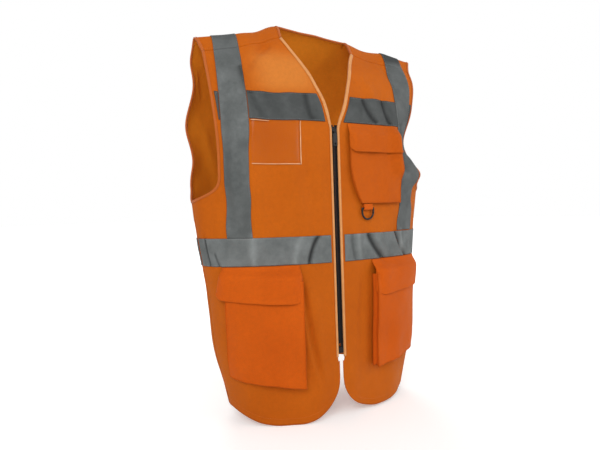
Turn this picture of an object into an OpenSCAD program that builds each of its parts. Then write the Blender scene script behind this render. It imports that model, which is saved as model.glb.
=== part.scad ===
// Sleeveless high-visibility vest with a full front zip, sewn from separate panels.
// Millimetres. The hem is on z = 0, the front faces -Y and the wearer's right is -X.

/* [Body] */
// Height of the shoulder line beside the neck, above the hem
neck_z = 718; // [640:1:800]
// Half width of the vest at the bottom of the armholes
half_w = 246.5; // [200:0.5:290]
// Narrowing of the half width for each millimetre below the armholes
taper = 0.138; // [0:0.002:0.25]
// Depth of the front, from the side seam to the centre, at waist height
front_d = 92; // [60:1:150]
// Forward lean of the front for each millimetre going down
lean = 0.035; // [0:0.005:0.15]
// Depth of the back, from the side seam to the centre
back_d = 96; // [60:1:150]
// Fall of the shoulder line for each millimetre of width
slope = 0.161; // [0:0.005:0.4]
// Rounding of the shoulder ridge
ridge_r = 25; // [10:1:50]
// Length over which the shoulder rolls down to the full depth
roll = 215; // [120:5:300]
// Thickness of the woven cloth
cloth_t = 1.2; // [0.6:0.1:2.5]

/* [Openings] */
// Half width of the neck opening at the shoulder line
neck_w = 79; // [50:1:110]
// Scoop of the back neckline
back_scoop = 6; // [5:1:60]
// Height of the armhole bottoms
arm_z = 405; // [340:1:480]
// Angle round the body of the front armhole edge
arm_front = 58.5; // [45:0.5:75]
// Angle round the body of the back armhole edge
arm_back = 73; // [50:0.5:80]
// Distance of the shoulder seam in front of the ridge
seam_q = 45; // [10:1:60]

/* [Front and hem] */
// Half gap between the two front edges, filled by the zip
gap_x = 6.8; // [6.5:0.1:12]
// Height of the top of the zip
zip_top = 533; // [400:1:600]
// Height of the bottom of the front edges
zip_low = 119; // [40:1:200]
// Width of the rounded front hem corner
corner_w = 85; // [20:1:120]
// Height of the rounded front hem corner
corner_h = 75; // [20:1:115]
// Half gap between the front edges below the zip
low_gap = 3.5; // [2:0.5:8]
// Rise of the hem at the side seams
side_rise = 26; // [0:1:60]
// Rise of the hem at the middle of the back
back_rise = 64; // [0:1:90]

/* [Trim] */
// Width of the reflective tape
tape_w = 50; // [25:1:75]
// Height of the top edge of the waist tape
waist_z = 339; // [250:1:420]
// Height of the top edge of the chest tape
chest_z = 596; // [520:1:640]
// Inner edge of the shoulder tapes, as an angle round the body
brace_in = 40.2; // [25:0.2:50]
// Outer edge of the shoulder tapes, as an angle round the body
brace_out = 55.8; // [40:0.2:65]
// Width of the edge binding
bind_w = 5; // [4:0.5:15]
// Thickness of the tape
tape_t = 0.8; // [0.4:0.1:1.5]

/* [Pockets] */
// Depth of the lower pouches
pouch_d = 18; // [5:1:30]
// Height of the bottom of the lower pouches
pouch_z = 70; // [30:1:150]
// Height of the open top of the lower pouches
pouch_top = 261; // [200:1:280]
// Height of the bottom edge of the lower flaps
flap_z = 220; // [180:1:260]
// Depth of the chest pouch
chest_d = 6; // [3:1:20]
// Height of the bottom of the chest pouch
chest_low = 396; // [360:1:450]
// Height of the bottom edge of the chest flap
chest_flap_z = 492; // [460:1:530]

/* [Zip] */
// Pitch of the teeth on one side
pitch = 3.4; // [2:0.1:6]
// Thickness of a tooth along the chain
tooth_t = 1.4; // [0.8:0.1:2.6]
// Length of the slider body
slider_l = 14; // [8:0.5:20]
// Length of the pull tab
pull_l = 26; // [15:1:45]

/* [Hidden] */
$fn = 32;
// Depth of the side seams, which centres the whole vest on y = 0
y_mid = 5.05;
// Height below which the vest narrows, and height at which front_d is measured
taper_z = 434;
lean_z = 304;
// Softness of the bend from collar to shoulder, and size of the rise beside the neck
neck_soft = 20;
collar_h = 9;
collar_w = 45;
// Air between the cloth and anything sewn on it, and inside a folded binding, over and under
gap_sewn = 0.5;
bind_gap = 1.2;
bind_under = 0.9;
bind_wall = 0.5;
tape_o = cloth_t + gap_sewn;
// Rows of the front panels follow the height up to v_end, then lean back to the seam
v_end = 560;
top_row = 700;
row_drop = 0.77;
// Distance from the centre at which the front hem starts rising to the side
side_from = 110;
// Height over which an armhole bottom rounds up from the side seam
arm_round = 50;
// Spread of the front armhole edge towards the shoulder, and the height it starts at
arm_spread = 8;
arm_spread_z = 480;
// How much the neck opening hollows on its way up
neck_power = 1.3;
// Clear cloth beside the tapes: at the front edge, at the armholes, and between tapes
edge_in = 2.3;
edge_waist = 1.9;
edge_out = 2.9;
edge_back = 4.6;
tape_gap = 0.3;
side_in = 1;
ti_cf = asin(gap_x / half_w);
te_side = 89.4;
neck_t = asin(neck_w / half_w) - 1.1;
seam_t = neck_t + 0.4;
low_w = half_w - taper * taper_z;
blaze = [0.80, 0.36, 0.07];
blaze_red = [0.82, 0.29, 0.07];
peach = [0.90, 0.62, 0.38];
silver = [0.62, 0.65, 0.66];
black = [0.07, 0.07, 0.08];
clear = [0.86, 0.84, 0.80, 0.45];
metal = [0.30, 0.31, 0.33];

// ---- body surface: t is the angle round the body, q the signed distance over the
// shoulder ridge (front negative, back positive), o the offset outwards
function sq(x) = x * x;
function sstep(x) = let (c = min(max(x, 0), 1)) c * c * (3 - 2 * c);
function mix(a, b, k) = a * (1 - k) + b * k;
function zs(t) = let (e = abs(half_w * sin(t)) - neck_w, x = (e + sqrt(e * e + sq(neck_soft))) / 2)
  neck_z - slope * x + collar_h * exp(-sq(x / collar_w));
function hw(z) = half_w - taper * max(0, taper_z - z);
function fd(z) = front_d - lean * (z - lean_z);
function d2q(d) = sqrt(sq(max(d, 0) + ridge_r) - sq(ridge_r));
function q2d(q) = sqrt(q * q + sq(ridge_r)) - ridge_r;
function surf(t, q) = let (z = zs(t) - q2d(q), k = sin(90 * min(abs(q) / roll, 1)))
  [hw(z) * sin(t), y_mid + (q < 0 ? -fd(z) : back_d) * k * cos(t), z];
function d_t(t, q) = (surf(t + 0.2, q) - surf(t - 0.2, q)) / 0.4;
function d_q(t, q) = (surf(t, q + 0.4) - surf(t, q - 0.4)) / 0.8;
function nrm(t, q) = let (c = cross(d_t(t, q), d_q(t, q))) c / norm(c);
function at(t, q, o) = surf(t, q) + o * nrm(t, q);
function qf(t, z) = -d2q(zs(t) - z);
function qb(t, z) = d2q(zs(t) - z);

// ---- edges of the panels
function hem_front(t) = let (x = low_w * sin(abs(t)))
  (x < low_gap + corner_w ? corner_h * (1 - sqrt(max(0, 1 - sq(1 - (max(x, low_gap) - low_gap)
  / corner_w)))) : 0) + (x > side_from ? side_rise * sq((x - side_from) / (low_w - side_from)) : 0);
function hem_back(t) = back_rise + (side_rise - back_rise) * sq(sin(t));
function corner(z) = pow(max(0, 1 - (z - arm_z) / arm_round), 4);
function armf(z) = z <= arm_z ? te_side : arm_front + (te_side - arm_front) * corner(z)
  + arm_spread * pow(max(0, z - arm_spread_z) / (top_row - arm_spread_z), 1.5);
function zest(r) = r <= v_end ? r : v_end + (r - v_end) * row_drop;
function neckf(r) = r <= zip_top ? asin(mix(low_gap, gap_x, sstep((r - 60) / 28)) / hw(r))
  : ti_cf + (seam_t - ti_cf) * pow((r - zip_top) / (top_row - zip_top), neck_power);
function row_z(t, r) = r < 150 ? mix(hem_front(t), 150, r / 150) : r;
function row_q(t, r) = r <= v_end ? qf(t, row_z(t, r))
  : mix(qf(t, v_end), -seam_q - 0.3, (r - v_end) / (top_row - v_end));
arm_seam = armf(zest(top_row));
function armb(q, z) = q < 0 ? mix(arm_seam, arm_back - 1.5, (q + seam_q) / seam_q)
  : z <= arm_z ? te_side
  : arm_back - 1.5 * max(0, 1 - q / 50) + (te_side - arm_back) * corner(z);
function back_top(t) = let (a = abs(t)) a <= neck_t ? back_scoop * sqrt(1 - sq(a / neck_t))
  : a < seam_t ? -(seam_q - 0.3) * (a - neck_t) / (seam_t - neck_t) : -seam_q + 0.3;

// ---- closed solids from two grids of points, or from a row of rings
module slab(hi, lo, m, k) {
  n = m * k;
  idx = function (u, v) v * m + u;
  top = [for (v = [0:k - 2], u = [0:m - 2]) each
    [[idx(u, v), idx(u, v + 1), idx(u + 1, v + 1)], [idx(u, v), idx(u + 1, v + 1), idx(u + 1, v)]]];
  rim = [each [for (u = [0:m - 2]) [idx(u, 0), idx(u + 1, 0)]],
    each [for (u = [0:m - 2]) [idx(u + 1, k - 1), idx(u, k - 1)]],
    each [for (v = [0:k - 2]) [idx(0, v + 1), idx(0, v)]],
    each [for (v = [0:k - 2]) [idx(m - 1, v), idx(m - 1, v + 1)]]];
  faces = [each top, each [for (f = top) [f[2] + n, f[1] + n, f[0] + n]],
    each [for (e = rim) each [[e[0], e[1], e[1] + n], [e[0], e[1] + n, e[0] + n]]]];
  polyhedron(points = concat(hi, lo), faces = faces);
}
// a sheet on the body: f gives [t, q] and offsets for column i and row j
module skin(m, k, f, lo, hi) {
  a = [for (j = [0:k - 1], i = [0:m - 1]) let (p = f(i, j)) at(p[0], p[1], hi(i, j))];
  b = [for (j = [0:k - 1], i = [0:m - 1]) let (p = f(i, j)) at(p[0], p[1], lo(i, j))];
  slab(a, b, m, k);
}
// a flat strip of the body between two angles and two heights; o is an offset or a function of t
module strip(t0, t1, z0, z1, o, th, back = false, nt = 8, nz = 2) {
  lift = is_function(o) ? o : function (t) o;
  zz = function (j) back ? mix(z1, z0, j / nz) : mix(z0, z1, j / nz);
  tt = function (i, j) mix(t0(zz(j)), t1(zz(j)), i / nt);
  skin(nt + 1, nz + 1, function (i, j) let (t = tt(i, j)) [t, back ? qb(t, zz(j)) : qf(t, zz(j))],
    function (i, j) lift(tt(i, j)), function (i, j) lift(tt(i, j)) + th);
}
// a folded binding along a path of [t, q] points, open towards the cloth; up to
// ridge_to its sections follow the rows of the panel over the sharp shoulder ridge
module binding(path, side, flip = false, ridge_to = -seam_q, loose = 0) {
  n = len(path);
  w = bind_w;
  hi = cloth_t + bind_gap + loose;
  lo = -bind_under - 2 * loose;
  tip = 0.6 + loose;
  sec = [[w, hi + bind_wall], [-tip - bind_wall, hi + bind_wall],
    [-tip - bind_wall, lo - bind_wall], [w, lo - bind_wall],
    [w, lo], [-tip, lo], [-tip, hi], [w, hi]];
  ring = function (i) let (p = path[i], a = path[max(i - 1, 0)], b = path[min(i + 1, n - 1)],
    dt = d_t(p[0], p[1]), dq = d_q(p[0], p[1]), nn = nrm(p[0], p[1]),
    tg = surf(b[0], b[1]) - surf(a[0], a[1]), ii = side * cross(nn, tg), iu = ii / norm(ii),
    kr = p[1] < ridge_to && p[1] > -40,
    kt = kr ? sign(iu * dt) / norm(dt) : (iu * dt) / (dt * dt),
    kq = kr ? 0 : (iu * dq) / (dq * dq))
    [for (s = sec) at(p[0] + s[0] * kt, p[1] + s[0] * kq, s[1])];
  pts = [for (i = [0:n - 1]) each ring(i)];
  walls = [for (i = [0:n - 2], j = [0:7]) let (a = i * 8 + j, b = i * 8 + (j + 1) % 8)
    each [[a, b, b + 8], [a, b + 8, a + 8]]];
  cap = [[0, 7, 6], [0, 6, 1], [1, 6, 5], [1, 5, 2], [2, 5, 4], [2, 4, 3]];
  e = (n - 1) * 8;
  all = [each walls, each cap, each [for (c = cap) [c[2] + e, c[1] + e, c[0] + e]]];
  polyhedron(points = pts, faces = flip ? [for (f = all) [f[2], f[1], f[0]]] : all);
}
module mirrored() {
  mirror([1, 0, 0]) children();
}

// ---- panels
front_rows = [0, 14, 34, 60, 67, 74, 81, 88, 118, 150, 210, 270, 330, 380, 405, 406, 407.5, 409.5,
  412, 415, 420, 428, 440, 460, 490, 533, 540, 550, 560, 590, 620, 650, 675, 700];
module front_panel() {
  nc = 17;
  skin(nc + 1, len(front_rows), function (i, j)
    let (r = front_rows[j], t = mix(neckf(r), armf(zest(r)), pow((nc - i) / nc, 1.35)))
    [-t, row_q(-t, r)], function (i, j) 0, function (i, j) cloth_t);
}
module front_panel_right() color(blaze) front_panel();
module front_panel_left() color(blaze) mirrored() front_panel();

q560 = qb(arm_back, 560);
// Rows over the shoulder, close together on the ridge, then by height down the back
ridge_rows = [-34, -24, -16, -10, -5, 0, 5, 10, 16, 25, 36, 50, 75, 105, 135];
back_a = concat([-seam_q + 0.3], ridge_rows);
corner_z = [560, 535, 505, 470, 440, 428, 420, 415, 412, 409.5, 407.5, 406, 405];
back_z = concat(corner_z, [360, 300, 240, 180, 120, 70]);
back_cols = [each [for (k = [0:5]) neck_t * sin(15 * k)], each [for (k = [0:4]) neck_t + 0.1 * k]];
module back_panel() {
  na = len(back_a);
  nb = len(back_z);
  no = 10;
  nn = len(back_cols);
  half = nn + no;
  ew = function (j) j < na ? (back_a[j] + seam_q - 0.3) / (q560 + seam_q - 0.3) : 1;
  ez = function (j) j < na ? 600 : j < na + nb ? back_z[j - na] : 20;
  pos = function (i, j) let (c = abs(i - half + 1),
    eq = j < na ? back_a[j] : qb(arm_back, ez(j)),
    t = c < nn ? back_cols[c] : mix(seam_t, armb(eq, ez(j)), (c - nn + 1) / no),
    ts = i < half - 1 ? -t : t,
    q = j <= na ? mix(back_top(ts), qb(ts, 560), j < na ? ew(j) : 1)
      : qb(ts, j == na + nb ? hem_back(ts) : ez(j))) [ts, q];
  color(blaze) skin(2 * half - 1, na + nb + 1, pos, function (i, j) 0, function (i, j) cloth_t);
}

// ---- bindings
arm_rows = [405, 406, 407.5, 409.5, 412, 415, 420, 428, 440, 460, 490, 533, 560, 590, 620, 650, 675,
  699];
module front_armhole_binding() {
  binding([for (r = arm_rows) let (t = armf(zest(r))) [-t, row_q(-t, r)]], -1);
}
module front_armhole_binding_right() color(peach) front_armhole_binding();
module front_armhole_binding_left() color(peach) mirrored() front_armhole_binding();
module back_armhole_binding() {
  binding([each [for (q = concat([-seam_q + 0.8], ridge_rows)) [-armb(q, 600), q]],
    each [for (z = corner_z) let (t = armb(200, z)) [-t, qb(t, z)]]], -1, ridge_to = 40);
}
module back_armhole_binding_right() color(peach) back_armhole_binding();
module back_armhole_binding_left() color(peach) mirrored() back_armhole_binding();
module back_neck_binding() {
  wrap = [for (k = [4:-1:1]) [neck_t + 0.1 * k, back_top(neck_t + 0.1 * k)
    + (k == 4 ? 0.5 : 0)]];
  curve = [for (a = [-90:15:90]) [neck_t * sin(a), back_scoop * cos(a)]];
  color(peach) binding([each [for (p = wrap) [-p[0], p[1]]], each curve,
    each [for (k = [3:-1:0]) wrap[k]]], 1, ridge_to = 0.1, loose = 0.6);
}
module front_edge_binding() {
  path = [each [for (r = [92, 118, 150]) let (t = neckf(r)) [-t, row_q(-t, r)]],
    each [for (r = [210, 330, 428, 533, 540, 550, 560, 590, 620, 650, 675, 699])
    let (t = neckf(r)) [-t, row_q(-t, r)]]];
  binding(path, 1, true);
}
module front_edge_binding_right() color(peach) front_edge_binding();
module front_edge_binding_left() color(peach) mirrored() front_edge_binding();

// ---- reflective tapes
module brace_tape() {
  rows = [waist_z + 0.6, 400, 440, 490, 533, 560, 590, 620, 650, 675, 699];
  skin(5, len(rows), function (i, j) let (t = mix(-brace_out, -brace_in, i / 4))
    [t, row_q(t, rows[j])], function (i, j) tape_o, function (i, j) tape_o + tape_t);
}
module brace_tape_right() color(silver) brace_tape();
module brace_tape_left() color(silver) mirrored() brace_tape();
module shoulder_tape() {
  qs = concat([-seam_q + 0.8], ridge_rows, [160, 185, 210]);
  n = len(qs);
  skin(5, n + 3, function (i, j) let (t = mix(-brace_out, -brace_in, i / 4))
    [t, j < n ? qs[j] : qb(t, [440, 390, waist_z + 0.6][j - n])],
    function (i, j) tape_o, function (i, j) tape_o + tape_t);
}
module shoulder_tape_right() color(silver) shoulder_tape();
module shoulder_tape_left() color(silver) mirrored() shoulder_tape();
module chest_tape() {
  strip(function (z) -brace_in + tape_gap, function (z) -neckf(z) - edge_in,
    chest_z - tape_w, chest_z, tape_o, tape_t);
  strip(function (z) -armf(z) + edge_out, function (z) -brace_out - tape_gap,
    chest_z - tape_w, chest_z, tape_o, tape_t, nt = 2);
}
module chest_tape_right() color(silver) chest_tape();
module chest_tape_left() color(silver) mirrored() chest_tape();
module back_chest_tape() {
  color(silver) {
    strip(function (z) -brace_in + tape_gap, function (z) brace_in - tape_gap,
      chest_z - tape_w, chest_z, tape_o, tape_t, true, 16, 3);
    for (s = [-1, 1])
      strip(function (z) s < 0 ? -armb(200, z) + edge_back : brace_out + tape_gap,
        function (z) s < 0 ? -brace_out - tape_gap : armb(200, z) - edge_back,
        chest_z - tape_w, chest_z, tape_o, tape_t, true, 4, 3);
  }
}
module waist_tape() {
  strip(function (z) -te_side + side_in, function (z) -neckf(z) - edge_waist,
    waist_z - tape_w, waist_z, tape_o, tape_t, nt = 20);
}
module waist_tape_right() color(silver) waist_tape();
module waist_tape_left() color(silver) mirrored() waist_tape();
module back_waist_tape() {
  color(silver) strip(function (z) -te_side + side_in, function (z) te_side - side_in,
    waist_z - tape_w, waist_z, tape_o, tape_t, true, 40);
}

// ---- clear badge window on the wearer's right chest
win_z0 = 470;
win_z1 = chest_z - tape_w - 1;
win_out = 39.3;
win_in = 16.6;
win_puff = 2;
rim_t = 0.7;
rim_w = 1.6;
module id_window() {
  us = [0, 0.03, 0.07, 0.3, 0.5, 0.7, 0.93, 0.97, 1];
  vs = [0, 0.04, 0.09, 0.4, 0.7, 1];
  d = function (i, j) win_puff * sstep(min(us[i], 1 - us[i]) / 0.07) * sstep(vs[j] / 0.09);
  color(clear) skin(9, 6, function (i, j)
    let (t = mix(-win_out, -win_in, us[i]), z = mix(win_z0, win_z1, vs[j])) [t, qf(t, z)],
    function (i, j) tape_o + d(i, j), function (i, j) tape_o + 0.5 + d(i, j));
}
module id_window_trim() {
  color(peach) {
    strip(function (z) -win_out - 0.1, function (z) -win_in + 0.1, win_z0 - 0.5 - rim_w,
      win_z0 - 0.5, tape_o, rim_t, nt = 8);
    strip(function (z) -win_in + 0.3, function (z) -win_in + 0.7, win_z0 - 0.5 - rim_w, win_z1,
      tape_o, rim_t, nt = 1);
  }
}

// ---- lower bellows pockets with flaps
// angles of the inner and outer side of a pouch, at its bottom and at its top
in_low = 22.5;
in_top = 20;
out_low = 74;
out_top = 63.5;
// rise of the pouch and flap edges towards the side of the body
pouch_rise = 18;
// share of its depth that a pouch loses over the next 50 degrees
side_flat = 0.78;
flap_rise = 12;
flap_t = 1.1;
flap_air = 4.8;
pad_z = 238;
pad_h = 18;
loop_t = 0.7;
hook_t = 0.8;
loop_air = 1.5;
hook_air = 2.8;
function up(z) = (z - pouch_z) / (pouch_top - pouch_z);
function pk_in(z) = mix(in_low, in_top, up(z));
function pk_out(z) = mix(out_low, out_top, up(z));
// depth of a lower pouch, shallower towards the side of the body
function low_depth(t) = pouch_d * (1 - side_flat * min(max((abs(t) - in_low) / 50, 0), 1));
module pouch(us, vs, f, depth, edge_u, edge_v) {
  d = function (i, j) depth(f(i, j)[0]) * sstep(min(us[i], 1 - us[i]) / edge_u)
    * sstep(vs[j] / edge_v);
  skin(len(us), len(vs), f, function (i, j) tape_o + d(i, j),
    function (i, j) tape_o + 0.9 + d(i, j));
}
low_us = [0, 0.015, 0.035, 0.06, 0.085, 0.2, 0.35, 0.5, 0.65, 0.8, 0.915, 0.94, 0.965, 0.985, 1];
low_vs = [0, 0.015, 0.035, 0.06, 0.085, 0.3, 0.6, 0.85, 1];
module lower_pouch() {
  pouch(low_us, low_vs, function (i, j)
    let (u = low_us[i], z = mix(mix(pouch_z + pouch_rise, pouch_z, u), pouch_top, low_vs[j]),
    t = mix(-pk_out(z), -pk_in(z), u)) [t, qf(t, z)], function (t) low_depth(t), 0.085, 0.085);
}
module pouch_right() color(blaze_red) lower_pouch();
module pouch_left() color(blaze_red) mirrored() lower_pouch();
flap_us = [0, 0.04, 0.1, 0.2, 0.35, 0.5, 0.65, 0.8, 0.9, 0.96, 1];
// how far a flap stands off over its pouch
function stand(u, h) = h * (0.55 + 0.45 * (1 - pow(abs(2 * u - 1), 9)));
function flap_low(u, z) = z + 9 * sq(max(0, 1 - min(u, 1 - u) / 0.1));
module lower_flap() {
  vs = [1, 0.94, 0.85, 0.75, 0.66, 0.4, 0.2, 0];
  top = waist_z - tape_w - 1;
  n = len(vs);
  pos = function (i, j) let (u = flap_us[i], v = vs[n - 1 - j],
    z = mix(flap_low(u, flap_z) + flap_rise * (1 - u), top, v),
    t = mix(-mix(out_low - 1, out_top + 1.5, v), -in_top + 0.1, u)) [t, qf(t, z)];
  o = function (i, j) tape_o + stand(flap_us[i], low_depth(pos(i, j)[0]) + flap_air)
    * sstep((1 - vs[n - 1 - j]) / 0.36);
  skin(len(flap_us), n, pos, function (i, j) o(i, j), function (i, j) o(i, j) + flap_t);
}
module flap_right() color(blaze_red) lower_flap();
module flap_left() color(blaze_red) mirrored() lower_flap();
module low_pad(air, th) {
  strip(function (z) -54, function (z) -34, pad_z, pad_z + pad_h,
    function (t) tape_o + low_depth(t) + air, th, nt = 4, nz = 1);
}
module loop_pad() low_pad(loop_air, loop_t);
module loop_pad_right() color(black) loop_pad();
module loop_pad_left() color(black) mirrored() loop_pad();
module hook_pad() low_pad(hook_air, hook_t);
module hook_pad_right() color(black) hook_pad();
module hook_pad_left() color(black) mirrored() hook_pad();

// ---- chest pocket on the wearer's left
cp_out = 38.4;
chest_top = 520;
chest_pad_z = 497;
function cp_in(z) = 7.2 + 6 * sq(max(0, (470 - z) / 78));
ch_us = [0, 0.02, 0.05, 0.08, 0.25, 0.5, 0.75, 0.92, 0.95, 0.98, 1];
ch_vs = [0, 0.02, 0.05, 0.09, 0.4, 0.7, 1];
module chest_pouch() {
  color(blaze_red) pouch(ch_us, ch_vs, function (i, j)
    let (z = mix(chest_low, chest_top, ch_vs[j]), t = mix(cp_in(z), cp_out, ch_us[i]))
    [t, qf(t, z)], function (t) chest_d, 0.08, 0.09);
}
module chest_flap() {
  vs = [1, 0.92, 0.82, 0.7, 0.55, 0.3, 0];
  n = len(vs);
  o = function (i, j) tape_o + stand(flap_us[i], chest_d + flap_air) * sstep((1 - vs[n - 1 - j]) / 0.45);
  color(blaze_red) skin(len(flap_us), n, function (i, j)
    let (u = flap_us[i], t = mix(cp_in(500) - 0.6, cp_out + 0.3, u),
    z = mix(flap_low(u, chest_flap_z), chest_z - tape_w - 1, vs[n - 1 - j])) [t, qf(t, z)],
    function (i, j) o(i, j), function (i, j) o(i, j) + flap_t);
}
module chest_pad(air, th) {
  color(black) strip(function (z) 18, function (z) 28, chest_pad_z, chest_pad_z + 16,
    tape_o + chest_d + air, th, nt = 2, nz = 1);
}
module chest_loop_pad() chest_pad(loop_air, loop_t);
module chest_hook_pad() chest_pad(hook_air, hook_t);

// ---- D-ring on its tab, below the inner corner of the chest pocket
ring_t = 16.2;
ring_z = 386;
ring_r = 13.4;
wire_r = 1.75;
module ring_frame() {
  p = surf(ring_t, qf(ring_t, ring_z));
  n = nrm(ring_t, qf(ring_t, ring_z));
  translate(p + 5.6 * n) rotate([0, 0, atan2(n[0], -n[1])]) children();
}
module dring_tab() {
  color(blaze_red) ring_frame() difference() {
    union() {
      translate([-10.5, -3.2, 0]) cube([21, 6.4, 8.6]);
      rotate([0, 90, 0]) cylinder(r = 3.2, h = 21, center = true);
    }
    rotate([0, 90, 0]) cylinder(r = wire_r + 0.3, h = 30, center = true);
    translate([-12, -2, 0]) cube([24, 4, 7.2]);
  }
}
module dring() {
  color(black) ring_frame() {
    rotate([0, 90, 0]) cylinder(r = wire_r, h = 2 * ring_r, center = true);
    for (s = [-1, 1]) translate([s * ring_r, 0, 0]) {
      sphere(r = wire_r);
      translate([0, 0, -7]) cylinder(r = wire_r, h = 7);
    }
    translate([0, 0, -7]) rotate([90, 0, 0]) rotate([0, 0, 180])
      rotate_extrude(angle = 180) translate([ring_r, 0]) circle(r = wire_r);
  }
}

// ---- zip, in a frame that follows the straight centre front
module zip_frame() {
  translate([0, y_mid - fd(zip_top), zip_top]) rotate([-atan(lean), 0, 0]) children();
}
zl = (zip_top - zip_low) / cos(atan(lean));
chain_y = 2.25;
module zip_tape() {
  difference() {
    translate([-20, chain_y - 0.35, -zl + 2.6]) cube([18.8, 0.7, zl + 3.4]);
    translate([-3.5, chain_y - 2, -zl]) cube([5, 4, 17.5]);
  }
}
module zip_tape_right() color(black) zip_frame() zip_tape();
module zip_tape_left() color(black) zip_frame() mirrored() zip_tape();
teeth_top = -9;
teeth_n = floor((zl - 26) / pitch);
module tooth() {
  translate([0, 0, -tooth_t / 2]) linear_extrude(height = tooth_t)
    polygon([[-3.1, -0.9], [-2.4, -1.5], [-0.4, -1.5], [0.3, -0.8], [0.95, -0.8], [0.95, 0.8],
    [0.3, 0.8], [-0.4, 1.5], [-2.4, 1.5], [-3.1, 0.9], [-3.1, 0.55], [-0.9, 0.55], [-0.9, -0.55],
    [-3.1, -0.55]]);
}
module teeth(first) {
  for (k = [0:teeth_n - 1])
    translate([0, chain_y, teeth_top - first - k * pitch]) tooth();
}
module zip_teeth_right() color(black) zip_frame() teeth(0);
module zip_teeth_left() color(black) zip_frame() mirrored() teeth(pitch / 2);
module top_stop() {
  translate([-3.8, chain_y - 1.6, 1.2]) difference() {
    cube([3.5, 3.2, 3.4]);
    translate([-1, 1, -1]) cube([3.9, 1.2, 6]);
  }
}
module top_stop_right() color(black) zip_frame() top_stop();
module top_stop_left() color(black) zip_frame() mirrored() top_stop();
box_z = -zl + 1;
module zip_box() {
  color(black) zip_frame() translate([0, chain_y, box_z]) difference() {
    union() {
      translate([-5.4, -2.6, 0]) cube([10.2, 5.2, 11]);
      translate([-2.4, 0, 11]) cylinder(r = 0.9, h = 3.5);
    }
    translate([-6, -0.6, -1]) cube([2.7, 1.2, 13]);
    translate([0.4, -1.3, 1.2]) cube([6, 2.6, 11]);
  }
}
module zip_pin() {
  color(black) zip_frame() translate([0, chain_y, box_z]) difference() {
    union() {
      translate([1.8, 0, 1.8]) cylinder(r = 0.95, h = 14.5);
      translate([1.8, -0.95, 11.4]) cube([2.6, 1.9, 4.9]);
    }
    translate([2.9, -0.6, 10]) cube([4, 1.2, 8]);
  }
}
slider_z = -slider_l + 0.4;
bar_y = chain_y - 5.1;
bar_z = slider_z + 8.6;
module slider() {
  color(black) zip_frame() {
    translate([0, chain_y, slider_z]) for (s = [-1, 1]) {
      translate([0, s * 2.5, 0]) hull() {
        translate([-5.2, -0.6, 4]) cube([10.4, 1.2, slider_l - 4]);
        translate([-4, -0.6, 0]) cube([8, 1.2, 1]);
      }
      for (x = [-1, 1]) translate([x * 4.7 - 0.5, s > 0 ? 0.8 : -2, 4])
        cube([1, 1.2, slider_l - 6]);
    }
    translate([-0.9, chain_y - 2, slider_z + slider_l - 5.6]) cube([1.8, 4, 4.4]);
    for (x = [-1, 1]) translate([x * 2.6 - 0.6, bar_y - 1.2, bar_z - 1.6]) cube([1.2, 3.2, 3.2]);
    translate([0, bar_y, bar_z]) rotate([0, 90, 0]) cylinder(r = 0.8, h = 5.6, center = true);
  }
}
module pull_tab() {
  color(metal) zip_frame() translate([0, bar_y, bar_z]) difference() {
    union() {
      rotate([0, 90, 0]) cylinder(r = 1.8, h = 3.4, center = true);
      translate([-1.7, -0.75, -5]) cube([3.4, 1.5, 5]);
      translate([0, 0.75, -(pull_l + 3) / 2]) rotate([90, 0, 0]) linear_extrude(height = 1.5)
        offset(r = 1.6) square([5.4, pull_l - 3 - 3.2], center = true);
    }
    rotate([0, 90, 0]) cylinder(r = 1.1, h = 6, center = true);
    translate([0, 0, -pull_l + 4.2]) rotate([90, 0, 0]) cylinder(r = 1.9, h = 5, center = true);
  }
}

back_panel();
front_panel_right();
front_panel_left();
back_neck_binding();
back_armhole_binding_right();
back_armhole_binding_left();
front_edge_binding_right();
front_edge_binding_left();
front_armhole_binding_right();
front_armhole_binding_left();
shoulder_tape_right();
shoulder_tape_left();
brace_tape_right();
brace_tape_left();
chest_tape_right();
chest_tape_left();
back_chest_tape();
waist_tape_right();
waist_tape_left();
back_waist_tape();
id_window();
id_window_trim();
pouch_right();
pouch_left();
flap_right();
flap_left();
loop_pad_right();
loop_pad_left();
hook_pad_right();
hook_pad_left();
chest_pouch();
chest_flap();
chest_loop_pad();
chest_hook_pad();
dring_tab();
dring();
zip_tape_right();
zip_tape_left();
zip_teeth_right();
zip_teeth_left();
top_stop_right();
top_stop_left();
zip_box();
zip_pin();
slider();
pull_tab();
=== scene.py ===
"""Looks of the zip-front high-visibility vest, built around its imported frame.

Cloth is sampled in millimetres and degrees: t is the angle round the body, q the signed
distance over the shoulder ridge (front negative, back positive) and o the offset outwards.
Meshes are made in metres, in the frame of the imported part.
"""
import math

import bpy
import numpy as np
from mathutils import Matrix, Vector


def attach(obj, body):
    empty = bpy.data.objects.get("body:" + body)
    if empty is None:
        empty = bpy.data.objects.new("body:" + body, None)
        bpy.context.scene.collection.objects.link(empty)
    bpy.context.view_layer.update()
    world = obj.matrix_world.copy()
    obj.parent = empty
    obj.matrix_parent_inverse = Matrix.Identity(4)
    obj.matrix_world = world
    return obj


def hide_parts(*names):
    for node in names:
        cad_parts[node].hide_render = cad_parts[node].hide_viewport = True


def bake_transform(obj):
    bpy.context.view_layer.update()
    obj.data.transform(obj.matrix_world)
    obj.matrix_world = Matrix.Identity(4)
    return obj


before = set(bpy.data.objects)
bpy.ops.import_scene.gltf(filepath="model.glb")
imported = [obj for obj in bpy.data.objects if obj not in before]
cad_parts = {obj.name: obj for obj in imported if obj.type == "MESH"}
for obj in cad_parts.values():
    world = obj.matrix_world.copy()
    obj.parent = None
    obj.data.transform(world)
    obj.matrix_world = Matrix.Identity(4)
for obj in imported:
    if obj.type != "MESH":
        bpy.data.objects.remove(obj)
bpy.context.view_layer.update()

MM = 0.001

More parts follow.
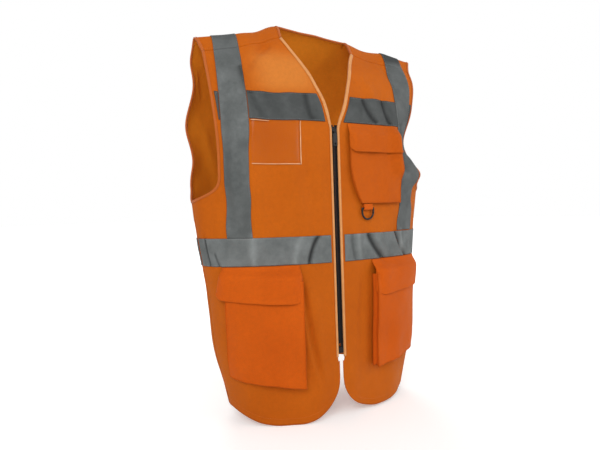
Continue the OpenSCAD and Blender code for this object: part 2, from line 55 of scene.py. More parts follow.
# ---------------------------------------------------------------- the body surface
NECK_Z = 718.0
HALF_W = 246.5
TAPER = 0.138
TAPER_Z = 434.0
FRONT_D = 92.0
LEAN = 0.035
LEAN_Z = 304.0
BACK_D = 96.0
SLOPE = 0.161
RIDGE_R = 25.0
ROLL = 215.0
Y_MID = 5.05
CLOTH_T = 1.2
NECK_W = 79.0
NECK_SOFT = 400.0
COLLAR_H = 9.0
COLLAR_W = 45.0
BACK_SCOOP = 6.0
ARM_Z = 405.0
ARM_FRONT = 58.5
ARM_BACK = 73.0
SEAM_Q = 45.0
GAP_X = 6.8
ZIP_TOP = 533.0
ZIP_LOW = 119.0
CORNER_W = 85.0
CORNER_H = 75.0
LOW_GAP = 3.5
SIDE_RISE = 26.0
SIDE_FROM = 110.0
BACK_RISE = 64.0
ARM_ROUND = 50.0
ARM_SPREAD = 8.0
ARM_SPREAD_Z = 480.0
ROW_DROP = 0.77
NECK_POWER = 1.3
TAPE_W = 50.0
WAIST_Z = 339.0
CHEST_Z = 596.0
BRACE_IN = 40.2
BRACE_OUT = 55.8
BRACE_MID = 0.5 * (BRACE_IN + BRACE_OUT)
BIND_W = 5.0
TAPE_T = 0.8
TAPE_O = CLOTH_T + 0.5
EDGE_IN = 2.3
EDGE_WAIST = 1.9
EDGE_OUT = 2.9
EDGE_BACK = 4.6
TAPE_GAP = 0.3
SIDE_IN = 1.0
POUCH_D = 18.0
POUCH_Z = 70.0
POUCH_TOP = 261.0
POUCH_RISE = 18.0
SIDE_FLAT = 0.78
FLAP_Z = 220.0
FLAP_RISE = 12.0
FLAP_T = 1.1
FLAP_AIR = 4.8
CHEST_D = 6.0
CHEST_LOW = 396.0
CHEST_TOP = 520.0
CHEST_FLAP_Z = 492.0
IN_LOW, IN_TOP = 22.5, 20.0
OUT_LOW, OUT_TOP = 74.0, 63.5
CHEST_OUT = 38.4
T_SIDE = 89.4
T_ZIP = math.degrees(math.asin(GAP_X / HALF_W))
T_NECK = math.degrees(math.asin(NECK_W / HALF_W)) - 1.1
T_SEAM = T_NECK + 0.4
LOW_W = HALF_W - TAPER * TAPER_Z
V_END = 560.0
TOP_ROW = 700.0
HEM_ROWS = 150.0
FAR_Q = 200.0
OPEN_Z = 600.0


def sind(a):
    return np.sin(np.radians(a))


def cosd(a):
    return np.cos(np.radians(a))


def asind(a):
    return np.degrees(np.arcsin(a))


def smooth(x):
    x = np.clip(x, 0.0, 1.0)
    return x * x * (3.0 - 2.0 * x)


def fade(x, start, end):
    """Smooth step from 0 where x is start to 1 where x is end."""
    return smooth((x - start) / (end - start))


def mix(a, b, k):
    return a * (1.0 - k) + b * k


def shoulder_z(t):
    e = np.abs(HALF_W * sind(t)) - NECK_W
    x = (e + np.sqrt(e * e + NECK_SOFT)) / 2.0
    return NECK_Z - SLOPE * x + COLLAR_H * np.exp(-(x / COLLAR_W) ** 2)


def drop(q):
    """Height lost going over the rounded shoulder ridge, at distance q from it."""
    return np.sqrt(q * q + RIDGE_R * RIDGE_R) - RIDGE_R


def reach(d):
    """The inverse: distance from the ridge at which the height lost is d."""
    return np.sqrt((np.maximum(d, 0.0) + RIDGE_R) ** 2 - RIDGE_R * RIDGE_R)


def half_width(z):
    return HALF_W - TAPER * np.maximum(0.0, TAPER_Z - z)


def surf(t, q):
    """Point of the smooth body surface, in mm."""
    z = shoulder_z(t) - drop(q)
    k = sind(90.0 * np.minimum(np.abs(q) / ROLL, 1.0))
    depth = np.where(q < 0, -(FRONT_D - LEAN * (z - LEAN_Z)), BACK_D)
    return np.stack([half_width(z) * sind(t), Y_MID + depth * k * cosd(t), z], axis=-1)


def slopes(t, q):
    """Change of the surface point per degree of t and per mm of q."""
    d_t = (surf(t + 0.2, q) - surf(t - 0.2, q)) / 0.4
    d_q = (surf(t, q + 0.4) - surf(t, q - 0.4)) / 0.8
    return d_t, d_q


def normal(t, q):
    d_t, d_q = slopes(t, q)
    n = np.cross(d_t, d_q)
    return n / np.linalg.norm(n, axis=-1, keepdims=True)


def q_front(t, z):
    """Distance q of the point at angle t and height z on the front."""
    return -reach(shoulder_z(t) - z)


def q_back(t, z):
    return reach(shoulder_z(t) - z)


# ---------------------------------------------------------------- edges of the panels
def hem_front(t):
    x = LOW_W * sind(np.abs(t))
    across = 1.0 - (np.maximum(x, LOW_GAP) - LOW_GAP) / CORNER_W
    corner_rise = CORNER_H * (1.0 - np.sqrt(np.maximum(0.0, 1.0 - across ** 2)))
    rise = np.where(x < LOW_GAP + CORNER_W, corner_rise, 0.0)
    side = np.maximum(0.0, x - SIDE_FROM) / (LOW_W - SIDE_FROM)
    return rise + SIDE_RISE * side ** 2


def hem_back(t):
    return BACK_RISE + (SIDE_RISE - BACK_RISE) * sind(t) ** 2


def corner(z):
    """1 at the armhole's foot, falling to 0 where its rounding ends."""
    return np.maximum(0.0, 1.0 - (z - ARM_Z) / ARM_ROUND) ** 4


def arm_front(z):
    spread = ARM_SPREAD * (np.maximum(0.0, z - ARM_SPREAD_Z) / (TOP_ROW - ARM_SPREAD_Z)) ** 1.5
    return np.where(z <= ARM_Z, T_SIDE, ARM_FRONT + (T_SIDE - ARM_FRONT) * corner(z) + spread)


def row_height(r):
    return np.where(r <= V_END, r, V_END + (r - V_END) * ROW_DROP)


def neck_front(r):
    on_zip = asind(mix(LOW_GAP, GAP_X, fade(r, 60.0, 88.0)) / half_width(r))
    share = np.clip((r - ZIP_TOP) / (TOP_ROW - ZIP_TOP), 0.0, 1.0) ** NECK_POWER
    return np.where(r <= ZIP_TOP, on_zip, T_ZIP + (T_SEAM - T_ZIP) * share)


def row_z(t, r):
    return np.where(r < HEM_ROWS, mix(hem_front(t), HEM_ROWS, r / HEM_ROWS), r)


def row_q(t, r):
    """Distance q along row r of a front; rows are heights up to V_END, then lean to the seam."""
    low = q_front(t, row_z(t, r))
    high = mix(q_front(t, V_END), -SEAM_Q, (r - V_END) / (TOP_ROW - V_END))
    return np.where(r <= V_END, low, high)


ARM_SEAM = float(arm_front(row_height(np.array(TOP_ROW))))


def arm_back(q, z):
    over = mix(ARM_SEAM, ARM_BACK - 1.5, (q + SEAM_Q) / SEAM_Q)
    above = ARM_BACK - 1.5 * np.maximum(0.0, 1.0 - q / 50.0) + (T_SIDE - ARM_BACK) * corner(z)
    return np.where(q < 0, over, np.where(z <= ARM_Z, T_SIDE, above))


def back_top(t):
    a = np.abs(t)
    inside = BACK_SCOOP * np.sqrt(np.maximum(0.0, 1.0 - (a / T_NECK) ** 2))
    wrap = -SEAM_Q * (a - T_NECK) / (T_SEAM - T_NECK)
    return np.where(a <= T_NECK, inside, np.where(a < T_SEAM, wrap, -SEAM_Q))


def chest_in(z):
    return 7.2 + 6.0 * (np.maximum(0.0, (470.0 - z) / 78.0)) ** 2


# ---------------------------------------------------------------- folds and wrinkles
def waves(p, length, stretch, seed, count=14):
    """Smooth random field of about +-1; length in mm, stretch lengthens it along x, y, z."""
    rng = np.random.default_rng(seed)
    total = np.zeros(p.shape[:-1])
    for _ in range(count):
        way = rng.normal(size=3)
        way /= np.linalg.norm(way)
        k = way * 2.0 * math.pi / (length * rng.uniform(0.75, 1.4)) / np.array(stretch)
        total += np.sin(p @ k + rng.uniform(0.0, 2.0 * math.pi))
    return total / math.sqrt(count) * 0.9


ARC = 4.2
FRONT, BACK = -1, 1
# folds drawn on the cloth: t and z at one end, t and z at the other, width, height.
# Heights below zero are valleys. Widths and heights are in mm.
FRONT_FOLDS = [
    # creases that cross the waist tape
    (-77.5, 352, -75.5, 283, 5.0, -3.2),
    (-70.0, 316, -63.5, 276, 5.0, -1.8),
    (-8.5, 346, -15.5, 280, 6.0, -3.8),
    (-16.0, 350, -23.0, 276, 9.0, 1.6),
    (16.5, 345, 30.5, 280, 8.0, -4.4),
    (24.0, 352, 37.0, 284, 7.0, 2.2),
    (34.5, 352, 50.5, 282, 5.0, -4.0),
    (8.0, 352, 10.5, 280, 6.0, -1.6),
    (12.0, 350, 14.0, 282, 8.0, 0.8),
    (42.0, 350, 47.0, 284, 8.0, 0.8),
    (-41.0, 352, -43.0, 276, 14.0, 0.8),
    # soft folds of the near upper chest, from the shoulder tape towards the neck
    (-23.0, 690, -38.5, 628, 9.0, -5.5),
    (-28.0, 668, -36.0, 600, 20.0, 3.0),
    (-41.0, 648, -37.0, 588, 8.0, -2.4),
    (-30.0, 690, -34.0, 610, 16.0, 2.8),
    # bend of the near chest tape
    (-37.5, 600, -29.0, 545, 11.0, -3.4),
    (-21.0, 606, -16.0, 540, 13.0, 2.6),
    (-13.5, 600, -10.0, 545, 8.0, -2.0),
    # far chest tape
    (15.0, 600, 24.5, 546, 8.0, -3.0),
    (29.0, 602, 34.0, 545, 7.0, -2.8),
    (22.0, 640, 27.0, 560, 14.0, 2.4),
    # far shoulder and the fold that hides part of the far shoulder tape
    (36.0, 700, 47.0, 610, 12.0, -4.0),
    (34.0, 556, 39.0, 436, 17.0, 9.5),
    (47.0, 566, 48.0, 452, 12.0, -10.0),
    (56.0, 500, 54.0, 420, 12.0, 5.0),
    (36.0, 480, 30.0, 470, 6.0, -2.0),
    # fall of the cloth beside the pockets and the zip
    (-19.0, 268, -11.5, 60, 6.0, -5.2),
    (-18.6, 262, -19.6, 96, 3.5, -2.0),
    (-12.0, 250, -9.5, 100, 10.0, 1.6),
    (15.0, 262, 13.5, 110, 10.0, -2.6),
    (-20.0, 545, -17.0, 360, 22.0, 2.4),
    (-9.0, 470, -12.0, 345, 16.0, -2.0),
    (56.0, 400, 50.0, 300, 14.0, 4.0),
    # long folds under the near shoulder tape, which turn it away from the front
    (-38.0, 650, -38.0, 330, 26.0, 5.0),
    (-54.0, 650, -54.0, 330, 20.0, -4.5),
]
BACK_FOLDS = [
    # back: hollow between the shoulders, folds off the shoulder blades and the waist
    (-30.0, 640, -8.0, 400, 26.0, 3.4),
    (30.0, 640, 10.0, 400, 26.0, 3.4),
    (0.0, 620, 0.0, 180, 30.0, -3.2),
    (-58.0, 560, -34.0, 380, 18.0, -3.6),
    (58.0, 560, 34.0, 380, 18.0, -3.6),
    (-46.0, 352, -40.0, 276, 6.0, -2.6),
    (20.0, 350, 27.0, 278, 6.0, -2.6),
    (49.0, 350, 55.0, 280, 5.0, -2.8),
    (-14.0, 350, -9.0, 282, 7.0, -2.0),
    (-36.0, 280, -44.0, 20, 24.0, 5.0),
    (34.0, 280, 40.0, 20, 24.0, 5.0),
    (4.0, 270, 8.0, 20, 22.0, 3.6),
    (-66.0, 640, -60.0, 590, 8.0, -2.2),
    (22.0, 604, 17.0, 542, 8.0, -2.2),
]
FOLDS = [(FRONT, *line) for line in FRONT_FOLDS] + [(BACK, *line) for line in BACK_FOLDS]
FOLD_GAIN = 1.45
RING_AT = np.array([67.5, -84.0, 386.0])
# soft dents and swells of the left side: centre and radii in mm, height
SWELLS = [
    ((216.0, -34.0, 522.0), (42.0, 60.0, 44.0), -22.0),
    ((222.0, -34.0, 638.0), (46.0, 60.0, 30.0), 7.0),
    ((232.0, -22.0, 452.0), (52.0, 50.0, 22.0), 24.0),
    ((-200.0, 0.0, 120.0), (50.0, 80.0, 66.0), 8.0),
    ((200.0, 0.0, 120.0), (50.0, 80.0, 66.0), 8.0),
]
LEFT_ARM_LOW = np.array([238.0, 0.0, 408.0])
LEFT_ARM_SIZE = np.array([46.0, 70.0, 34.0])


def fold_line(line, t, q, z):
    """Distance from a drawn fold, and how far it has faded out towards its ends."""
    side, t0, z0, t1, z1, width, height = line
    here = (q < 0) if side == FRONT else (q >= 0)
    ax, ay = (t - t0) * ARC, z - z0
    bx, by = (t1 - t0) * ARC, float(z1 - z0)
    length = math.hypot(bx, by)
    along = (ax * bx + ay * by) / length
    across = (ax * by - ay * bx) / length
    bend = 5.0 * np.sin(along / length * math.pi)
    run = np.clip(along / length, 0.0, 1.0)
    ends = np.where(here, smooth(run / 0.22) * smooth((1.0 - run) / 0.22), 0.0)
    return across - bend, ends, width, height


def creases(t, q, p):
    """Up to 1 along sharp valleys, where painted shade darkens the tape; down to -1 on low crests, which
    get a painted highlight.
    """
    total = np.zeros(t.shape)
    for line in FOLDS:
        away, ends, width, height = fold_line(line, t, q, p[..., 2])
        line_share = np.exp(-(away / (0.7 * width)) ** 2) * smooth(ends / 0.35)
        if height < 0.0 and width < 10.0:
            total = total + min(1.0, -height / 3.6) * line_share
        if 0.0 < height < 2.0:
            total = total - line_share
    # painted shade along the top of the far shoulder tape, which faces away from the light
    far_ridge = fade(p[..., 0], 120.0, 140.0) * fade(p[..., 2], 676.0, 690.0)
    return np.clip(total + 0.6 * far_ridge, -1.0, 1.0)


def fold(t, q, p):
    """Distance in mm that folds and wrinkles push the cloth out along its normal."""
    x = p[..., 0]
    z = p[..., 2]
    front = q < 0
    hang = fade(z, 330.0, 0.0)
    broad = waves(p, 175.0, (1.0, 1.0, 3.2), 5)
    medium = waves(p, 78.0, (1.0, 1.0, 2.0), 11)
    small = waves(p, 30.0, (1.0, 1.0, 1.3), 23)
    total = broad * (2.3 + 3.6 * hang) + medium * (1.25 + 1.0 * hang) + small * 0.36
    for line in FOLDS:
        away, ends, width, height = fold_line(line, t, q, z)
        shape = np.exp(-(away / width) ** 2) - 0.35 * np.exp(-(away / (2.2 * width)) ** 2)
        total = total + FOLD_GAIN * height * shape * ends
    # armhole edges of the back swing in and out
    near_arm = fade(np.abs(t), 58.0, 72.0) * fade(z, 425.0, 485.0) * fade(z, 690.0, 640.0)
    sway = 6.0 * np.sin((z - 400.0) / 21.0 + np.where(x < 0, 0.95, 2.2)) * near_arm
    total = total + np.where(front, 0.25 * sway, sway)
    for centre, radii, height in SWELLS:
        away = np.linalg.norm((p - np.array(centre)) / np.array(radii), axis=-1)
        total = total + height * np.exp(-away ** 2)
    # the zip, the ring and the shoulder ridge hold the cloth still
    zip_hold = fade(np.abs(x), 13.0, 55.0)
    zip_run = fade(z, 610.0, 550.0)
    hold = np.where(front, mix(1.0, zip_hold, zip_run), 1.0)
    ring_hold = 1.0 - 0.95 * np.exp(-(np.linalg.norm(p - RING_AT, axis=-1) / 26.0) ** 2)
    top_hold = 0.45 + 0.55 * smooth(np.abs(q) / 70.0)
    return total * hold * ring_hold * top_hold


def hang_uneven(p):
    """How the worn vest hangs askew: neckline and opening drawn to its left, left side lifted."""
    x, y, z = p[..., 0], p[..., 1], p[..., 2]
    tilt = -0.10 * x * fade(z, 600.0, 710.0) * fade(np.abs(x), 170.0, 90.0)
    away = np.linalg.norm((p - LEFT_ARM_LOW) / LEFT_ARM_SIZE, axis=-1)
    left_hem = fade(x, 0.0, 60.0) * fade(z, 130.0, 0.0)
    opening = fade(z, 535.0, 585.0) * fade(z, 690.0, 630.0) * fade(np.abs(x), 110.0, 50.0)
    aside = 5.0 * opening * fade(y, Y_MID, Y_MID - 20.0)
    sunk = -8.0 * np.exp(-((x + 116.0) / 25.0) ** 2) * fade(z, 650.0, 700.0)
    lifted = tilt + sunk + 14.0 * np.exp(-away ** 2) + 5.0 * left_hem
    return np.stack([aside, 0.0 * x, lifted], axis=-1)


def place(t, q, o):
    """Points on the folded cloth, in mm."""
    t, q = np.broadcast_arrays(np.asarray(t, float), np.asarray(q, float))
    p = surf(t, q)
    moved = p + (np.asarray(o, float) + fold(t, q, p))[..., None] * normal(t, q)
    return moved + hang_uneven(p)


# ---------------------------------------------------------------- meshes
def mesh_object(name, points, faces, uv, material):
    """Smooth-shaded object from points in mm; uv holds one pair of lengths per point, in metres."""
    mesh = bpy.data.meshes.new(name)
    mesh.from_pydata((np.asarray(points) * MM).tolist(), [], faces)
    mesh.polygons.foreach_set("use_smooth", np.ones(len(mesh.polygons), bool))
    if uv is not None:
        layer = mesh.uv_layers.new(name="cloth")
        loops = np.zeros(len(mesh.loops), np.int32)
        mesh.loops.foreach_get("vertex_index", loops)
        layer.data.foreach_set("uv", np.asarray(uv, np.float32)[loops].ravel())
    mesh.update()
    obj = bpy.data.objects.new(name, mesh)
    bpy.context.scene.collection.objects.link(obj)
    mesh.materials.append(material)
    return obj


def grid_faces(rows, cols, first=0, closed=False):
    """Four-sided faces of a grid of points; closed joins its last column to its first."""
    faces = []
    last = cols if closed else cols - 1
    for j in range(rows - 1):
        for i in range(last):
            a = first + j * cols + i
            b = first + j * cols + (i + 1) % cols
            faces.append((a, b, b + cols, a + cols))
    return faces


def grid_uv(grid):
    """Lengths along the cloth in metres, so a weave keeps its true size."""
    across = np.linalg.norm(np.diff(grid, axis=1), axis=-1)
    along = np.linalg.norm(np.diff(grid, axis=0), axis=-1)
    u = np.concatenate([np.zeros((grid.shape[0], 1)), np.cumsum(across, axis=1)], axis=1)
    u = u - u[:, u.shape[1] // 2][:, None]
    v = np.concatenate([np.zeros((1, grid.shape[1])), np.cumsum(along, axis=0)], axis=0)
    v = v.mean(axis=1)[:, None] + np.zeros_like(u)
    return np.stack([u, v], axis=-1).reshape(-1, 2) * MM


def thicken(obj, thickness, lining=None):
    """Adds the cloth's thickness inwards; lining is the material of the inner face."""
    solid = obj.modifiers.new("thickness", "SOLIDIFY")
    solid.thickness = thickness * MM
    solid.offset = -1.0
    solid.use_quality_normals = True
    if lining is not None:
        obj.data.materials.append(lining)
        solid.material_offset = 1
    return obj


def sheet(name, grid, thickness, material, lining=None):
    """One layer of cloth from a grid of outer points, rows along q and columns along t."""
    rows, cols = grid.shape[:2]
    obj = mesh_object(name, grid.reshape(-1, 3), grid_faces(rows, cols), grid_uv(grid), material)
    return thicken(obj, thickness, lining)


def on_cloth(name, t, q, o, thickness, material, lining=None):
    return sheet(name, place(t, q, o), thickness, material, lining)


def point_values(obj, name, values):
    """Stores a number per mesh point, which a material reads by name."""
    layer = obj.data.attributes.new(name, "FLOAT", "POINT")
    layer.data.foreach_set("value", values.ravel().astype(np.float32))


def spaced(*runs):
    """Joins (start, end, step) runs into one rising or falling list of values."""
    values = []
    for start, end, step in runs:
        count = max(1, int(round(abs(end - start) / step)))
        values += list(np.linspace(start, end, count, endpoint=False))
    values.append(runs[-1][1])
    return np.array(values)


def flip_t(side, t):
    """Angles are built on the wearer's right, where t is negative; +1 mirrors them."""
    return t if side < 0 else -t


RIGHT, LEFT = -1, 1
SIDES = [(RIGHT, "right"), (LEFT, "left")]


def front_piece(obj):
    """Cloth of a front, sewn to the back at the shoulder: bakes its transform into its points."""
    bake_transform(obj)


def stand_for(node):
    """Takes the place of a node of the frame, which it hides."""
    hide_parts(node)


def settle(obj, body, node):
    """Fixes a piece to one body, in place of a node of the frame, which it hides."""
    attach(obj, body)
    stand_for(node)


def settle_front(obj, side_name, node):
    """For a piece of a front: bakes its transform and hides the node of the frame it replaces."""
    front_piece(obj)
    stand_for(node + side_name)


def unit_grid(rows, cols):
    """Shares from 0 to 1: u across the columns and v up the rows."""
    return np.linspace(0, 1, cols)[None, :], np.linspace(0, 1, rows)[:, None]


def oriented(side, *arrays):
    """Reverses the columns of a mirrored grid, so that its faces still look outwards."""
    if side < 0:
        return arrays
    return tuple(a[:, ::-1] if a.ndim == 2 else a for a in arrays)


def run_lengths(points):
    """Length along a line of points from its first one to each of them."""
    steps = np.linalg.norm(np.diff(points, axis=0), axis=-1)
    return np.concatenate([[0.0], np.cumsum(steps)])


# ---------------------------------------------------------------- materials
class Nodes:
    """Short ways to add and join shader nodes."""

    def __init__(self, tree):
        self.tree = tree

    def add(self, kind, **values):
        node = self.tree.nodes.new(kind)
        for key, value in values.items():
            if key in node.inputs:
                node.inputs[key].default_value = value
            else:
                setattr(node, key, value)
        return node

    def put(self, value, socket):
        if isinstance(value, bpy.types.NodeSocket):
            self.tree.links.new(value, socket)
        else:
            socket.default_value = value

    def math(self, operation, a, b=0.0):
        node = self.tree.nodes.new("ShaderNodeMath")
        node.operation = operation
        for value, socket in zip((a, b), node.inputs):
            self.put(value, socket)
        return node.outputs[0]

    def colour(self, factor, a, b, blend="MIX"):
        node = self.tree.nodes.new("ShaderNodeMix")
        node.data_type = "RGBA"
        node.blend_type = blend
        self.put(factor, node.inputs["Factor"])
        self.put(a, node.inputs["A"])
        self.put(b, node.inputs["B"])
        return node.outputs["Result"]

    def noise(self, vector, scale, detail=3.0, rough=0.5):
        node = self.add("ShaderNodeTexNoise", Scale=scale, Detail=detail, Roughness=rough)
        self.tree.links.new(vector, node.inputs["Vector"])
        return node.outputs["Fac"]

    def ramp(self, factor, low, high, out_low=0.0, out_high=1.0):
        node = self.tree.nodes.new("ShaderNodeMapRange")
        limits = {"From Min": low, "From Max": high, "To Min": out_low, "To Max": out_high}
        for key, value in limits.items():
            node.inputs[key].default_value = value
        self.put(factor, node.inputs["Value"])
        return node.outputs["Result"]

    def uv(self):
        """Lengths along and across the cloth, in metres."""
        return self.add("ShaderNodeUVMap", uv_map="cloth").outputs["UV"]

    def split_uv(self):
        node = self.add("ShaderNodeSeparateXYZ")
        self.put(self.uv(), node.inputs[0])
        return node.outputs[0], node.outputs[1]

    def position(self):
        return self.add("ShaderNodeTexCoord").outputs["Object"]

    def attribute(self, name):
        return self.add("ShaderNodeAttribute", attribute_name=name).outputs["Fac"]

    def shaded(self, colour, brightness):
        """A colour multiplied by a grey value."""
        grey = self.add("ShaderNodeCombineColor")
        for socket in grey.inputs:
            self.put(brightness, socket)
        return self.colour(1.0, colour, grey.outputs[0], "MULTIPLY")

    def mean(self, a, b, share):
        """Weighted mean of two values; share is the weight of a."""
        return self.math("ADD", self.math("MULTIPLY", a, share), self.math("MULTIPLY", b, 1.0 - share))

    def bump(self, height, distance, strength=1.0, below=None):
        node = self.add("ShaderNodeBump", Strength=strength, Distance=distance)
        self.put(height, node.inputs["Height"])
        if below is not None:
            self.tree.links.new(below, node.inputs["Normal"])
        return node.outputs["Normal"]


def rgb(r, g, b):
    return (r, g, b, 1.0)


def node_material(name):
    """A new material, helper for its nodes, and its shader's inputs."""
    material = bpy.data.materials.new(name)
    material.use_nodes = True
    tree = material.node_tree
    return material, Nodes(tree), tree.nodes["Principled BSDF"].inputs


def set_inputs(shader, **values):
    """Sets shader inputs; an underscore in a key stands for a space in the input's name."""
    for key, value in values.items():
        shader[key.replace("_", " ")].default_value = value


# colour of the painted highlight on the near upper chest
PAINTED_HIGHLIGHT_CLOTH = rgb(0.66, 0.205, 0.034)
TAPE_GREYS = ((0.118, 0.128, 0.126), (0.178, 0.190, 0.188))


def weave_height(n, u, v, pitch):
    """Plain weave: warp and weft threads cross over and under each other."""
    a = n.math("SINE", n.math("MULTIPLY", u, math.pi / pitch))
    b = n.math("SINE", n.math("MULTIPLY", v, math.pi / pitch))
    over = n.math("GREATER_THAN", n.math("MULTIPLY", a, b), 0.0)
    warp = n.math("MULTIPLY", over, n.math("ABSOLUTE", a))
    weft = n.math("MULTIPLY", n.math("SUBTRACT", 1.0, over), n.math("ABSOLUTE", b))
    return n.math("ADD", warp, weft)


def cloth_material(name, light, dark, pitch=0.0009, sheen=0.22, rough=0.66, bump=0.00012, glow=0.0):
    """Woven cloth with mottled dye, thread relief and a soft sheen; a painted highlight is mixed in by
    the pale point share, and glow is painted light through the cloth, as emission.
    """
    material, n, shader = node_material(name)
    place_node = n.position()
    height = weave_height(n, *n.split_uv(), pitch)
    patches = n.noise(place_node, 9.0, 4.0, 0.55)
    threads = n.noise(n.uv(), 900.0, 2.0, 0.6)
    slub = n.noise(place_node, 160.0, 3.0, 0.6)
    base = n.colour(n.ramp(patches, 0.3, 0.7), dark, light)
    # painted highlight: paler cloth where the pale point share is set
    base = n.colour(n.attribute("pale"), base, PAINTED_HIGHLIGHT_CLOTH)
    yarn = n.ramp(n.mean(threads, slub, 0.6), 0.3, 0.7, 0.86, 1.1)
    grain = n.math("MULTIPLY", yarn, n.ramp(height, 0.0, 1.0, 0.84, 1.04))
    n.put(n.shaded(base, grain), shader["Base Color"])
    n.put(n.ramp(slub, 0.3, 0.7, rough - 0.06, rough + 0.08), shader["Roughness"])
    set_inputs(shader, Specular_IOR_Level=0.25, Specular_Tint=rgb(1.0, 0.55, 0.22), Sheen_Weight=sheen,
               Sheen_Roughness=0.45, Sheen_Tint=rgb(1.0, 0.42, 0.10), Emission_Color=light,
               Emission_Strength=glow)
    relief = n.bump(n.noise(place_node, 55.0, 4.0, 0.55), 0.0012, 0.35)
    n.put(n.bump(height, bump, 0.7, relief), shader["Normal"])
    return material


def tape_material(name, gain):
    """Silver reflective tape: packed glass beads over a grey ground, with painted shade along creases
    and a painted highlight on low crests; gain scales the whole tape's colour.
    """
    material, n, shader = node_material(name)
    place_node = n.position()
    beads = n.add("ShaderNodeTexVoronoi", Scale=2600.0)
    n.put(n.uv(), beads.inputs["Vector"])
    beads = beads.outputs["Distance"]
    scuffs = n.noise(place_node, 26.0, 5.0, 0.65)
    smears = n.noise(n.uv(), 120.0, 4.0, 0.6)
    grounds = [rgb(*(gain * channel for channel in grey)) for grey in TAPE_GREYS]
    base = n.colour(n.ramp(scuffs, 0.35, 0.68), *grounds)
    sparkle = n.ramp(beads, 0.0, 0.6, 1.12, 0.86)
    crease = n.attribute("crease")
    # painted shade in the creases, painted highlight on low crests
    crease_shading = n.math("MULTIPLY", n.ramp(crease, 0.0, 1.0, 1.0, 0.14), n.ramp(crease, -1.0, 0.0, 1.42, 1.0))
    n.put(n.shaded(base, n.math("MULTIPLY", sparkle, crease_shading)), shader["Base Color"])
    n.put(n.ramp(smears, 0.3, 0.7, 0.58, 0.70), shader["Roughness"])
    set_inputs(shader, Metallic=0.52, Specular_IOR_Level=0.5)
    relief = n.bump(n.noise(place_node, 42.0, 4.0, 0.6), 0.0012, 0.3)
    n.put(n.bump(beads, 0.00006, 0.5, relief), shader["Normal"])
    return material


def ribbed_material(name, light, dark, pitch=0.0013, rough=0.6, sheen=0.2, bump=0.0002):
    """Narrow woven ribbon: ribs across its length, flattened and lighter where rubbed."""
    material, n, shader = node_material(name)
    ribs = n.math("ABSOLUTE", n.math("SINE", n.math("MULTIPLY", n.split_uv()[1], math.pi / pitch)))
    wear = n.noise(n.position(), 70.0, 4.0, 0.6)
    rubbed = n.ramp(n.mean(ribs, wear, 0.45), 0.25, 0.8)
    n.put(n.colour(rubbed, dark, light), shader["Base Color"])
    set_inputs(shader, Roughness=rough, Specular_IOR_Level=0.25, Sheen_Weight=sheen)
    relief = n.bump(wear, 0.0006, 0.4)
    n.put(n.bump(ribs, bump, 0.8, relief), shader["Normal"])
    return material


def window_material(name):
    """Clear soft vinyl: nearly invisible face on, glossy at its edges and ripples."""
    material = bpy.data.materials.new(name)
    material.use_nodes = True
    material.node_tree.nodes.clear()
    n = Nodes(material.node_tree)
    place_node = n.position()
    ripple = n.bump(n.noise(place_node, 34.0, 3.0, 0.5), 0.0022, 0.6)
    clear = n.add("ShaderNodeBsdfTransparent", Color=rgb(0.996, 0.993, 0.990))
    gloss = n.add("ShaderNodeBsdfGlossy", Color=rgb(1.0, 0.97, 0.93), Roughness=0.2)
    fresnel = n.add("ShaderNodeFresnel", IOR=1.34)
    for node in (gloss, fresnel):
        n.put(ripple, node.inputs["Normal"])
    haze = n.ramp(n.noise(place_node, 420.0, 4.0, 0.7), 0.35, 0.8, 0.0, 0.006)
    blend = n.add("ShaderNodeMixShader")
    share = n.math("ADD", n.math("MULTIPLY", fresnel.outputs[0], 0.09), haze)
    for value, socket in zip((share, clear.outputs[0], gloss.outputs[0]), blend.inputs):
        n.put(value, socket)
    out = n.add("ShaderNodeOutputMaterial")
    n.put(blend.outputs[0], out.inputs["Surface"])
    return material


def plastic_material(name, colour, rough, metallic=0.0, wear=0.25, shine=0.3):
    """Moulded plastic or painted metal: fine mould grain and rubbed, paler high spots."""
    material, n, shader = node_material(name)
    place_node = n.position()
    grain = n.noise(place_node, 700.0, 4.0, 0.6)
    rubbed = n.noise(place_node, 240.0, 5.0, 0.7)
    pale = rgb(*(min(1.0, channel * 2.6 + 0.02) for channel in colour[:3]))
    n.put(n.colour(n.ramp(rubbed, 0.52, 0.8, 0.0, wear), colour, pale), shader["Base Color"])
    n.put(n.ramp(rubbed, 0.3, 0.75, rough - 0.08, rough + 0.12), shader["Roughness"])
    set_inputs(shader, Metallic=metallic, Specular_IOR_Level=shine)
    n.put(n.bump(grain, 0.00008, 0.6), shader["Normal"])
    return material


def floor_material():
    """Matt pale floor; for the camera only, the far floor brightens into the backdrop."""
    material, n, shader = node_material("studio_floor")
    place_node = n.position()
    cloud = n.noise(place_node, 1.5, 3.0, 0.5)
    n.put(n.colour(cloud, rgb(0.83, 0.83, 0.82), rgb(0.87, 0.87, 0.86)), shader["Base Color"])
    set_inputs(shader, Roughness=0.8, Emission_Color=rgb(1.0, 1.0, 1.0))
    away = n.add("ShaderNodeVectorMath", operation="LENGTH")
    n.put(place_node, away.inputs[0])
    glow = n.ramp(away.outputs["Value"], 0.4, 2.4, 0.32, 0.80)
    seen = n.add("ShaderNodeLightPath").outputs["Is Camera Ray"]
    n.put(n.math("MULTIPLY", glow, seen), shader["Emission Strength"])
    return material


